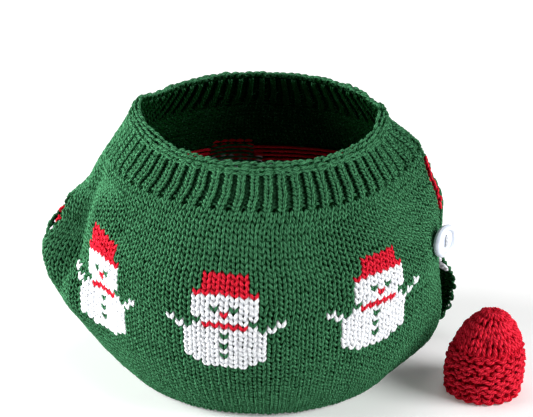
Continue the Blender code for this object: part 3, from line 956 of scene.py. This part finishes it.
EDGING_KNIT = Passage(0.03, 0.84)  # of the strip's own length
EDGING_ROWS = (ChainRow(0.74, 0.9, 2.8, 1.0), ChainRow(0.80, 2.9, 2.4, 1.0))
EDGING_LINKS = 14
EDGING_STEPS = 121
EDGING_SEED = 31
STRIP_GRID = (33, 9)
STRIP_SHARE = 0.86  # of the edging's own width
STRIP_HALF = 0.4
STRIP_IN = 0.2


def sew_seams():
    """The chained seams that join the panels' edges above and below the slits."""
    sheets = panel_sheet(FRONT), panel_sheet(BACK)
    skein = Skein()
    draws = np.random.default_rng(SEAM_SEED)
    for seam in SEAMS:
        shares = np.linspace(seam.start, seam.end, SEAM_STEPS * seam.links)
        lines = [sheet.at(seam.edge, shares, SEAM_DEPTH) for sheet in sheets]
        points, outs = (np.mean(pair, axis=0) for pair in zip(*lines))
        chain(skein, points, unit(outs), seam.links, SEAM_WIDTH, panel_loop().radius, draws)
    add_yarn("panel_seams", skein, "green")


def facing_front(points, outs):
    """Directions along the sheet, square to a line of points on it, towards the front panel."""
    towards = np.cross(unit(np.gradient(points, axis=0)), outs)
    return towards * -np.sign(towards[:, 1:2])


def knit_edging():
    """The two chained rows that show of the edging, and the strip that is sewn behind the edge."""
    sheet = edging_sheet()
    skein = Skein()
    draws = np.random.default_rng(EDGING_SEED)
    radius = panel_loop().radius
    for row in EDGING_ROWS:
        points, outs = sheet.at(row.place, np.linspace(*EDGING_KNIT, EDGING_STEPS), row.depth)
        chain(skein, points, facing_front(points, outs), EDGING_LINKS, row.width, radius, draws)
    add_yarn("slit_edging_chains", skein, "red")
    rows, columns = STRIP_GRID
    up, across = np.linspace(*EDGING_KNIT, rows), np.linspace(0.0, STRIP_SHARE, columns)
    # The strip is a dark red sheet: painted shade behind the chains.
    base = add_sheet("slit_edging_strip", "red", sheet, across, up, -STRIP_IN, STRIP_HALF)
    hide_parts("slit_edging")


# ---------------- the button

BUTTON_PLACE = (83.2, -23.6, 68.0)
BUTTON_FACES = 51.0  # degrees from the front towards the handle
BUTTON_RADIUS = 7.8
BUTTON_THICKNESS = 3.4
BUTTON_SIDES = 64
# The rim's section, from the back round to the dish, as (inset from the radius, height).
BUTTON_SECTION = [
    (1.6, -1.7), (0.5, -1.2), (0.0, -0.2), (0.0, 0.4), (0.5, 1.3), (1.3, 1.7), (2.1, 1.5),
    (2.8, 0.8),
]
BUTTON_DISH = [(3.4, 0.66), (0.0, 0.6)]  # (radius, height)
RIM_STEPS = 6
BUTTON_HOLE_RADIUS = 0.95
BUTTON_HOLE_HALF = 2.2  # from the button's middle to a hole's
DRILL_HALF = 4.0
DRILL_SIDES = 32
SHARP_FROM = 35.0  # degrees

Thread = namedtuple("Thread", "aside top")
THREADS = [Thread(-0.42, 1.05), Thread(0.0, 1.25), Thread(0.42, 1.05)]
THREAD_RADIUS = 0.30
THREAD_DOWN = [(0.92, -4.5), (1.0, -1.0), (1.0, 0.5)]  # (share of the way to a hole, height)
THREAD_SHOULDER = 0.72
THREAD_CROWN = 0.15
THREAD_STEPS = 4


def turned_mesh(name, outline, sides):
    """A body turned about z from a line of (radius, height) that starts and ends on the axis."""
    turns = np.linspace(0.0, FULL_TURN, sides, endpoint=False)
    around = np.stack([np.cos(turns), np.sin(turns)], axis=-1)
    rings = [np.column_stack([radius * around, np.full(sides, height)]) for radius, height in outline]
    vertices = np.vstack([rings[0][:1], *rings[1:-1], rings[-1][:1]])
    number = np.arange(1, len(vertices) - 1).reshape(-1, sides)
    after = np.roll(number, -1, axis=1)
    walls = np.stack([number[:-1], after[:-1], after[1:], number[1:]], axis=-1).reshape(-1, 4)
    foot = np.stack([0 * number[0], after[0], number[0]], axis=-1)
    head = np.stack([number[-1], after[-1], 0 * number[0] + len(vertices) - 1], axis=-1)
    return mesh_of(name, vertices, [foot, walls, head])


def button_turn():
    turn = Matrix.Rotation(np.radians(BUTTON_FACES), 4, "Z") @ Matrix.Rotation(np.pi / 2, 4, "X")
    return Matrix.Translation((np.array(AXIS) + BUTTON_PLACE) * MM) @ turn


def drilled_disc():
    """A disc with a rounded rim and a dished face, drilled with two holes."""
    rim = fine_line([(BUTTON_RADIUS - inset, height) for inset, height in BUTTON_SECTION], RIM_STEPS)
    outline = np.vstack([[(0.0, -BUTTON_THICKNESS / 2)], rim, BUTTON_DISH])
    disc = add_object("button_disc", turned_mesh("button_disc", outline, BUTTON_SIDES))
    drills = []
    for side in (-1, 1):
        drill_line = [(radius, -DRILL_HALF) for radius in (0.0, BUTTON_HOLE_RADIUS)]
        drill_line += [(radius, DRILL_HALF) for radius in (BUTTON_HOLE_RADIUS, 0.0)]
        drill = add_object("thread_hole", turned_mesh("thread_hole", drill_line, DRILL_SIDES))
        drill.location = (0.0, side * BUTTON_HOLE_HALF * MM, 0.0)
        cut = disc.modifiers.new("thread hole", "BOOLEAN")
        cut.object = drill
        cut.operation = "DIFFERENCE"
        cut.solver = "EXACT"
        drills.append(drill)
    bpy.context.view_layer.update()
    graph = bpy.context.evaluated_depsgraph_get()
    drilled = bpy.data.meshes.new_from_object(disc.evaluated_get(graph))
    for used in (disc, *drills):
        bpy.data.objects.remove(used)
    return drilled


def make_button():
    """The button, and the turns of thread that hold it."""
    disc = drilled_disc()
    disc.transform(button_turn())
    disc.shade_smooth()
    disc.set_sharp_from_angle(angle=np.radians(SHARP_FROM))
    disc.materials.clear()
    button = add_piece("button_face", disc, button_material())
    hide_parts("button")
    skein = Skein()
    turn = np.array(button_turn())
    for aside, top in THREADS:
        stations = [*THREAD_DOWN, (THREAD_SHOULDER, top)]
        way = [(-share, z) for share, z in stations] + [(0.0, top + THREAD_CROWN)]
        way += [(share, z) for share, z in reversed(stations)]
        line = fine_line([(aside, share * BUTTON_HOLE_HALF, z) for share, z in way], THREAD_STEPS)
        line = line @ turn[:3, :3].T + turn[:3, 3] / MM
        skein.add(line, np.broadcast_to(turn[:3, 0], line.shape), THREAD_RADIUS)
    add_yarn("button_thread", skein, "white")


# ---------------- the knob cover

KNOB_COURSES = 14
KNOB_PURL_COURSES = 7.5
KNOB_COLUMNS = 20
KNOB_NARROWED_FROM = 11
KNOB_NARROWED_COLUMNS = 11
KNOB_LOOP = Loop(radius=0.86, spread=0.20, rise=0.80, depth=0.95, plump=0.08, rib_depth=0.0)
KNOB_UNEVEN = (0.12, 0.15, 0.24, 0.09)
KNOB_RISES = Passage(0.05, KNOB_COURSES - 0.1)
KNOB_THINNER = 0.25
KNOB_TURN = 1.25  # how sharply its purl courses pass into the knit ones
KNOB_SIDES = 8
KNOB_SAMPLES = 13
CROWN_TURN = 2.6 * np.pi
CROWN_STEPS = 40
CROWN_CURL = Passage(1.9, 0.73)  # radius of the curled end at the crown
CROWN_CLIMB = Passage(-0.3, -0.3 + 0.08 * CROWN_TURN)
CROWN_RADIUS = 0.95
FOOT_SHARE = 0.004
FOOT_WAVE = 0.6
FOOT_RADIUS = 1.05
LINING_ACROSS = Passage(0.002, 0.998)
LINING_UP = Passage(0.01, 0.97)
LINING_ROWS = 31
LINING_HALF = 0.4
LINING_IN = 0.3


def knit_rounds(skein, sheet, first, last, columns, draws):
    """The knob cover's rounds from one course to another, with a number of columns."""
    along, across, up, depth, radii = loops(columns * (last - first), KNOB_LOOP, KNOB_SAMPLES)
    climbed = first + along / columns
    side = np.clip((climbed + up - KNOB_PURL_COURSES) * KNOB_TURN, -1.0, 1.0)
    stitches = np.arange(columns * (last - first) + 1)
    odds = draw_odds(draws, KNOB_UNEVEN, len(stitches))
    aside, higher, farther, thicker = (np.interp(along, stitches, odd) for odd in odds)
    rise = np.clip(climbed + up + higher, *KNOB_RISES) / KNOB_COURSES
    points, outs = sheet.at((across + aside) / columns, rise, depth * side + farther)
    smaller = 1.0 - KNOB_THINNER * smooth_step(KNOB_NARROWED_FROM, KNOB_COURSES, climbed)
    skein.add(points, outs, radii * (1.0 + thicker) * smaller, depth * side / KNOB_LOOP.depth)


def curl_at_crown(skein, sheet):
    """The end of the yarn, curled up on the gathered crown."""
    turn = np.linspace(0.0, CROWN_TURN, CROWN_STEPS)
    crown = sheet.at(np.array([0.0, 0.5]), 1.0)[0].mean(axis=0)
    curl, climb = (np.linspace(*passage, CROWN_STEPS) for passage in (CROWN_CURL, CROWN_CLIMB))
    line = crown + np.stack([curl * np.cos(turn), curl * np.sin(turn), climb], axis=-1)
    skein.add(line, np.broadcast_to([0.0, 0.0, 1.0], line.shape), CROWN_RADIUS)


def knit_knob_cover(seed):
    """The knob cover, knitted in one strand that climbs round and round."""
    sheet = knob_sheet()
    skein = Skein(KNOB_SIDES)
    draws = np.random.default_rng(seed)
    knit_rounds(skein, sheet, 0, KNOB_NARROWED_FROM, KNOB_COLUMNS, draws)
    knit_rounds(skein, sheet, KNOB_NARROWED_FROM, KNOB_COURSES, KNOB_NARROWED_COLUMNS, draws)
    curl_at_crown(skein, sheet)
    foot = np.linspace(0.0, 1.0, CAST_ON_SAMPLES * KNOB_COLUMNS + 1)
    points, outs = sheet.at(foot, FOOT_SHARE, FOOT_WAVE * np.sin(FULL_TURN * foot * KNOB_COLUMNS))
    skein.add(points, outs, FOOT_RADIUS)
    knitted = add_yarn("knob_cover_loops", skein, "red")
    across, up = np.linspace(*LINING_ACROSS, KNOB_GRID[1]), np.linspace(*LINING_UP, LINING_ROWS)
    # A dark red sheet inside the loops: painted shade between them.
    base = add_sheet("knob_cover_sheet", "red", sheet, across, up, -LINING_IN, LINING_HALF)
    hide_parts("knob_cover")


# ---------------- materials

PAINTED_DIP_SHADE = 0.60  # painted shade: how much darker the yarn is coloured at a loop's ends, which lie deep in the knitting, than on its legs
CLOUDY_TONE = 1.5
FIBRE_HEIGHT = 0.9
TONES = (1.70, 2.75)  # from the deep colour, which is painted shade mixed with the dye's random tone, to the light one
PLIES = 4.0
PLY_PITCH = 1.7  # millimetres of strand
FIBRE_PLACE = (4.0, 4.0, 0.8)  # how fast the fibres change across a strand, and along it
# Noises, as (scale, detail, roughness).
FIBRE_NOISE = (1.6, 3.0, 0.6)
DYE_NOISE = (620.0, 2.0, 0.6)
PEARL_NOISE = (160.0, 3.0, 0.5)
INSIDE_NOISE = (900.0, 2.0, 0.5)


def colour_of(name, share=1.0):
    """A colour of the settings, darkened or lightened by a share, with an alpha of 1."""
    return (*np.minimum(np.array(getattr(bpy.context.scene.cosy_colours, name)) * share, 1.0), 1.0)


def new_material(name, looks):
    """A material and its shader, which has the given looks."""
    made = bpy.data.materials.new(name)
    made.use_nodes = True
    shader = made.node_tree.nodes["Principled BSDF"]
    for label, value in looks.items():
        shader.inputs[label].default_value = value
    return made, shader


def wire(tree, value, socket):
    """Links another node's output to a socket, or sets the socket to a plain value."""
    if hasattr(value, "links"):
        tree.links.new(value, socket)
    else:
        socket.default_value = value


def math_node(tree, operation, *values):
    node = tree.nodes.new("ShaderNodeMath")
    node.operation = operation
    for socket, value in zip(node.inputs, values):
        wire(tree, value, socket)
    return node.outputs[0]


def noise_node(tree, noise, place=None):
    """A noise at a place, which is the object's own unless one is given."""
    node = tree.nodes.new("ShaderNodeTexNoise")
    if place is None:
        place = tree.nodes.new("ShaderNodeTexCoord").outputs["Object"]
    for label, value in zip(("Scale", "Detail", "Roughness", "Vector"), (*noise, place)):
        wire(tree, value, node.inputs[label])
    return node.outputs[0]


def mix_node(tree, share, low, high):
    node = tree.nodes.new("ShaderNodeMix")
    node.data_type = "RGBA"
    for label, value in (("Factor", share), ("A", low), ("B", high)):
        wire(tree, value, node.inputs[label])
    return node.outputs["Result"]


def attribute_node(tree, name, output):
    node = tree.nodes.new("ShaderNodeAttribute")
    node.attribute_name = name
    return node.outputs[output]


def empty_group(name):
    """A node group for a yarn, and its input and output nodes."""
    group = bpy.data.node_groups.new(name, "ShaderNodeTree")
    for label, kind, value in (
        ("Deep Colour", "NodeSocketColor", (0.1, 0.1, 0.1, 1.0)),
        ("Light Colour", "NodeSocketColor", (0.5, 0.5, 0.5, 1.0)),
        ("Plies", "NodeSocketFloat", PLIES),
        ("Pitch", "NodeSocketFloat", PLY_PITCH),
    ):
        socket = group.interface.new_socket(label, in_out="INPUT", socket_type=kind)
        socket.default_value = value
    for label, kind in (("Colour", "NodeSocketColor"), ("Height", "NodeSocketFloat")):
        group.interface.new_socket(label, in_out="OUTPUT", socket_type=kind)
    return group, group.nodes.new("NodeGroupInput"), group.nodes.new("NodeGroupOutput")


def spun_yarn_group():
    """Twisted plies and loose fibres of a yarn, from its strands' yarn_run values, with painted shade
    between the plies and where the strands dip into the knitting.
    """
    name = "Spun yarn"
    if name in bpy.data.node_groups:
        return bpy.data.node_groups[name]
    tree, given, result = empty_group(name)
    parts = tree.nodes.new("ShaderNodeSeparateXYZ")
    wire(tree, attribute_node(tree, "yarn_run", "Vector"), parts.inputs[0])
    cos, sin, along = parts.outputs
    plies = given.outputs["Plies"]
    angle = math_node(tree, "ARCTAN2", sin, cos)
    twist = math_node(tree, "DIVIDE", along, given.outputs["Pitch"])
    twist = math_node(tree, "MULTIPLY", twist, FULL_TURN)
    ply_angle = math_node(tree, "ADD", math_node(tree, "MULTIPLY", angle, plies), twist)
    ply = math_node(tree, "ABSOLUTE", math_node(tree, "COSINE", math_node(tree, "MULTIPLY", ply_angle, 0.5)))
    turned = math_node(tree, "ADD", angle, math_node(tree, "DIVIDE", twist, plies))
    place = tree.nodes.new("ShaderNodeCombineXYZ")
    ways = (math_node(tree, "COSINE", turned), math_node(tree, "SINE", turned), along)
    for way, size, socket in zip(ways, FIBRE_PLACE, place.inputs):
        wire(tree, math_node(tree, "MULTIPLY", way, size), socket)
    fibres = noise_node(tree, FIBRE_NOISE, place.outputs[0])
    cloudy = noise_node(tree, DYE_NOISE)
    height = math_node(tree, "MULTIPLY_ADD", fibres, FIBRE_HEIGHT, ply)
    wire(tree, height, result.inputs["Height"])
    # Painted shade: the colour darkens where the height is low, between the plies; the cloudy noise adds the
    # dye's random tone.
    tone = math_node(tree, "MULTIPLY_ADD", cloudy, CLOUDY_TONE, height)
    # Painted shade: the colour darkens by the strand's level, where it dips into the knitting.
    level = attribute_node(tree, "stands_out", "Fac")
    tone = math_node(tree, "MULTIPLY_ADD", level, PAINTED_DIP_SHADE, tone)
    spread = tree.nodes.new("ShaderNodeMapRange")
    for label, value in zip(("From Min", "From Max", "Value"), (*TONES, tone)):
        wire(tree, value, spread.inputs[label])
    ends = (given.outputs[f"{end} Colour"] for end in ("Deep", "Light"))
    wire(tree, mix_node(tree, spread.outputs[0], *ends), result.inputs["Colour"])
    return tree


def yarn_material(colour):
    """The yarn of one colour: spun plies, with painted shade between them and where its loops dip, and
    lighter on their fibres.
    """
    name = f"spun_{colour}_yarn"
    if name in bpy.data.materials:
        return bpy.data.materials[name]
    made, shader = new_material(name, {"Roughness": 0.9, "Specular IOR Level": 0.04})
    tree = made.node_tree
    spun = tree.nodes.new("ShaderNodeGroup")
    spun.node_tree = spun_yarn_group()
    bump = tree.nodes.new("ShaderNodeBump")
    for value, socket in (
        (colour_of(f"{colour}_deep"), spun.inputs["Deep Colour"]),
        (colour_of(colour), spun.inputs["Light Colour"]),
        (spun.outputs["Colour"], shader.inputs["Base Color"]),
        (0.9, bump.inputs["Strength"]),
        (0.0003, bump.inputs["Distance"]),
        (spun.outputs["Height"], bump.inputs["Height"]),
        (bump.outputs[0], shader.inputs["Normal"]),
    ):
        wire(tree, value, socket)
    return made


def button_material():
    """A pearly plastic, a little clouded."""
    looks = {"Roughness": 0.28, "Coat Weight": 0.3, "Coat Roughness": 0.15}
    made, shader = new_material("pearly_button", looks)
    tree = made.node_tree
    clouds = noise_node(tree, PEARL_NOISE)
    tint = mix_node(tree, clouds, colour_of("button", 0.88), colour_of("button", 1.12))
    wire(tree, tint, shader.inputs["Base Color"])
    return made


def shade_sheet_material(colour):
    """A dark colour for the sheets inside the knitting: painted shade, seen only between the loops, mottled
    at random.
    """
    name = f"inside_the_{colour}_knitting"
    if name in bpy.data.materials:
        return bpy.data.materials[name]
    made, shader = new_material(name, {"Roughness": 0.95, "Specular IOR Level": 0.03})
    tree = made.node_tree
    deep, lighter = (colour_of(f"{colour}_deep", share) for share in (0.1, 0.5))
    mixed = mix_node(tree, noise_node(tree, INSIDE_NOISE), deep, lighter)
    wire(tree, mixed, shader.inputs["Base Color"])
    return made


# ---------------- settings

LENGTH = {"unit": "LENGTH", "min": 0.0}
POWER = {"unit": "POWER", "min": 0.0}
ANGLE = {"subtype": "ANGLE"}
COLOUR = {"subtype": "COLOR", "min": 0.0, "max": 1.0}


class CosyYarnSettings(bpy.types.PropertyGroup):
    """Sizes of the loops."""

    radius: FloatProperty(
        name="Yarn radius", description="Half the yarn's thickness", default=0.65 * MM, **LENGTH
    )
    spread: FloatProperty(
        name="Loop spread", description="How far a loop's legs lean, in stitches", default=0.25, min=0.0
    )
    rise: FloatProperty(
        name="Loop rise", description="Half a loop's height, in courses", default=0.88, min=0.0
    )
    depth: FloatProperty(
        name="Loop depth", description="How far a loop swings out of the sheet", default=0.76 * MM, **LENGTH
    )
    plump: FloatProperty(
        name="Plumpness", description="How much thicker its legs are than its ends", default=0.10, min=0.0
    )
    rib_depth: FloatProperty(
        name="Rib depth", description="How far a rib column stands out", default=0.80 * MM, **LENGTH
    )


class CosyColourSettings(bpy.types.PropertyGroup):
    """Colours of the yarns and the button."""

    # Each deep colour is painted shade, between the plies and where the loops dip, mixed with the dye's
    # random tone.
    green: FloatVectorProperty(
        name="Green yarn", description="The ground, on its fibres", default=(0.074, 0.266, 0.126), **COLOUR
    )
    green_deep: FloatVectorProperty(
        name="Deep green", description="The ground, between its plies", default=(0.0, 0.026, 0.003), **COLOUR
    )
    red: FloatVectorProperty(
        name="Red yarn", description="Hats, edging and knob cover", default=(0.890, 0.030, 0.062), **COLOUR
    )
    red_deep: FloatVectorProperty(
        name="Deep red", description="The red, between its plies", default=(0.440, 0.002, 0.010), **COLOUR
    )
    white: FloatVectorProperty(
        name="White yarn", description="The snowmen", default=(0.96, 0.975, 0.99), **COLOUR
    )
    white_deep: FloatVectorProperty(
        name="Deep white", description="The white, between its plies", default=(0.86, 0.88, 0.93), **COLOUR
    )
    button: FloatVectorProperty(
        name="Button", description="The button", default=(0.64, 0.70, 0.80), **COLOUR
    )
    floor: FloatVectorProperty(
        name="Floor", description="The pale floor", default=(0.93, 0.93, 0.93), **COLOUR
    )


class CosyStageSettings(bpy.types.PropertyGroup):
    """The camera and the lights."""

    lens: FloatProperty(
        name="Lens", description="The camera's focal length", default=124.48, min=1.0, unit="CAMERA"
    )
    distance: FloatProperty(
        name="Distance", description="From the cosy's axis to the camera, level", default=0.7824, **LENGTH
    )
    height: FloatProperty(
        name="Height", description="The camera's height over the floor", default=0.417, **LENGTH
    )
    pitch: FloatProperty(
        name="Pitch", description="How far the camera looks down", default=np.radians(23.72), **ANGLE
    )
    yaw: FloatProperty(
        name="Yaw", description="How far the camera turns to the right", default=np.radians(0.18), **ANGLE
    )
    roll: FloatProperty(
        name="Roll", description="How far the camera tips to the right", default=np.radians(0.39), **ANGLE
    )
    left_power: FloatProperty(
        name="Left light", description="Power of the light on the left", default=51.0, **POWER
    )
    right_power: FloatProperty(
        name="Right light", description="Power of the light on the right", default=25.0, **POWER
    )
    top_power: FloatProperty(
        name="Top light", description="Power of the light overhead", default=4.2, **POWER
    )
    sky: FloatProperty(
        name="Sky", description="Strength of the light from all around", default=0.06, min=0.0
    )


# ---------------- the stage

FLOOR_HALF = 6000.0
FLOOR_LOOKS = {"Roughness": 0.9, "Emission Color": (1.0, 1.0, 1.0, 1.0), "Emission Strength": 0.12}
Lamp = namedtuple("Lamp", "name place size power")  # place and size in metres
LAMPS = [
    Lamp("left_light", (-1.33, 0.0, 0.46), 1.0, "left_power"),
    Lamp("right_light", (1.20, -0.41, 0.64), 0.8, "right_power"),
    Lamp("top_light", (0.0, 0.3, 1.5), 0.8, "top_power"),
]
LIT_POINT = Vector((0.0, 0.0, 0.05))


def lay_floor():
    """A wide pale floor that glows a little."""
    corners = FLOOR_HALF * np.array([(-1, -1, 0), (1, -1, 0), (1, 1, 0), (-1, 1, 0)])
    floor = add_object("floor", mesh_of("floor", corners, [np.array([[0, 1, 2, 3]])]))
    paint, _ = new_material("pale_floor", {"Base Color": colour_of("floor"), **FLOOR_LOOKS})
    floor.data.materials.append(paint)


def hang_lights(scene):
    """The soft lamps, and a faint light from all around."""
    settings = scene.cosy_stage
    scene.world = bpy.data.worlds.new("soft_sky")
    scene.world.use_nodes = True
    background = scene.world.node_tree.nodes["Background"]
    background.inputs["Color"].default_value = (1.0, 1.0, 1.0, 1.0)
    background.inputs["Strength"].default_value = settings.sky
    for lamp in LAMPS:
        light = add_object(lamp.name, bpy.data.lights.new(lamp.name, "AREA"))
        light.data.energy = getattr(settings, lamp.power)
        light.data.size = lamp.size
        light.location = lamp.place
        light.rotation_euler = (LIT_POINT - light.location).to_track_quat("-Z", "Y").to_euler()


def set_camera(scene):
    settings = scene.cosy_stage
    camera = add_object("camera", bpy.data.cameras.new("camera"))
    camera.data.lens = settings.lens
    camera.data.sensor_width = 36.0
    camera.data.sensor_fit = "HORIZONTAL"
    level = np.cos(settings.pitch)
    ahead = Vector((np.sin(settings.yaw) * level, np.cos(settings.yaw) * level, -np.sin(settings.pitch)))
    right = ahead.cross(Vector((0, 0, 1))).normalized()
    up = right.cross(ahead)
    cos, sin = np.cos(settings.roll), np.sin(settings.roll)
    turn = Matrix((cos * right + sin * up, cos * up - sin * right, -ahead)).transposed()
    spot = Vector((AXIS[0] * MM, AXIS[1] * MM - settings.distance, settings.height))
    camera.matrix_world = Matrix.Translation(spot) @ turn.to_4x4()
    scene.camera = camera
    scene.view_settings.view_transform = "Standard"


# ---------------- operators


class COSY_OT_front_panel(bpy.types.Operator):
    """Knit the front panel with its snowmen and collar"""

    bl_idname = "cosy.front_panel"
    bl_label = "Front panel"

    def execute(self, context):
        knit_panel("front", FRONT, seed=11)
        return {"FINISHED"}


class COSY_OT_back_panel(bpy.types.Operator):
    """Knit the back panel with its snowmen and collar"""

    bl_idname = "cosy.back_panel"
    bl_label = "Back panel"

    def execute(self, context):
        knit_panel("back", BACK, seed=12)
        return {"FINISHED"}


class COSY_OT_seams(bpy.types.Operator):
    """Sew the panels together above and below the slits"""

    bl_idname = "cosy.seams"
    bl_label = "Seams"

    def execute(self, context):
        sew_seams()
        return {"FINISHED"}


class COSY_OT_slit_edging(bpy.types.Operator):
    """Knit the red edging behind the handle slit's edge"""

    bl_idname = "cosy.slit_edging"
    bl_label = "Slit edging"

    def execute(self, context):
        knit_edging()
        return {"FINISHED"}


class COSY_OT_button(bpy.types.Operator):
    """Make the button and sew it on"""

    bl_idname = "cosy.button"
    bl_label = "Button"

    def execute(self, context):
        make_button()
        return {"FINISHED"}


class COSY_OT_knob_cover(bpy.types.Operator):
    """Knit the cover of the lid's knob"""

    bl_idname = "cosy.knob_cover"
    bl_label = "Knob cover"

    def execute(self, context):
        knit_knob_cover(seed=13)
        return {"FINISHED"}


class COSY_OT_stage(bpy.types.Operator):
    """Set up the floor, the soft lights and the camera"""

    bl_idname = "cosy.stage"
    bl_label = "Stage"

    def execute(self, context):
        lay_floor()
        hang_lights(context.scene)
        set_camera(context.scene)
        return {"FINISHED"}


OPERATORS = [
    COSY_OT_seams,
    COSY_OT_slit_edging,
    COSY_OT_button,
    COSY_OT_front_panel,
    COSY_OT_back_panel,
    COSY_OT_knob_cover,
    COSY_OT_stage,
]
SETTINGS = {
    "cosy_yarn": CosyYarnSettings,
    "cosy_colours": CosyColourSettings,
    "cosy_stage": CosyStageSettings,
}


class COSY_PT_panel(bpy.types.Panel):
    """The cosy's pieces and their settings."""

    bl_label = "Tea Cosy"
    bl_idname = "COSY_PT_panel"
    bl_space_type = "VIEW_3D"
    bl_region_type = "UI"
    bl_category = "Tea Cosy"

    def draw(self, context):
        for operator in OPERATORS:
            self.layout.operator(operator.bl_idname)
        for group in SETTINGS:
            settings = getattr(context.scene, group)
            box = self.layout.box()
            for name in settings.__annotations__:
                box.prop(settings, name)


def register():
    for part in (*SETTINGS.values(), *OPERATORS, COSY_PT_panel):
        bpy.utils.register_class(part)
    for name, group in SETTINGS.items():
        setattr(bpy.types.Scene, name, PointerProperty(type=group))


def unregister():
    for name in SETTINGS:
        delattr(bpy.types.Scene, name)
    for part in (COSY_PT_panel, *reversed(OPERATORS), *SETTINGS.values()):
        bpy.utils.unregister_class(part)


def main():
    register()
    for operator in OPERATORS:
        group, name = operator.bl_idname.split(".")
        getattr(getattr(bpy.ops, group), name)()


if __name__ == "__main__":
    main()
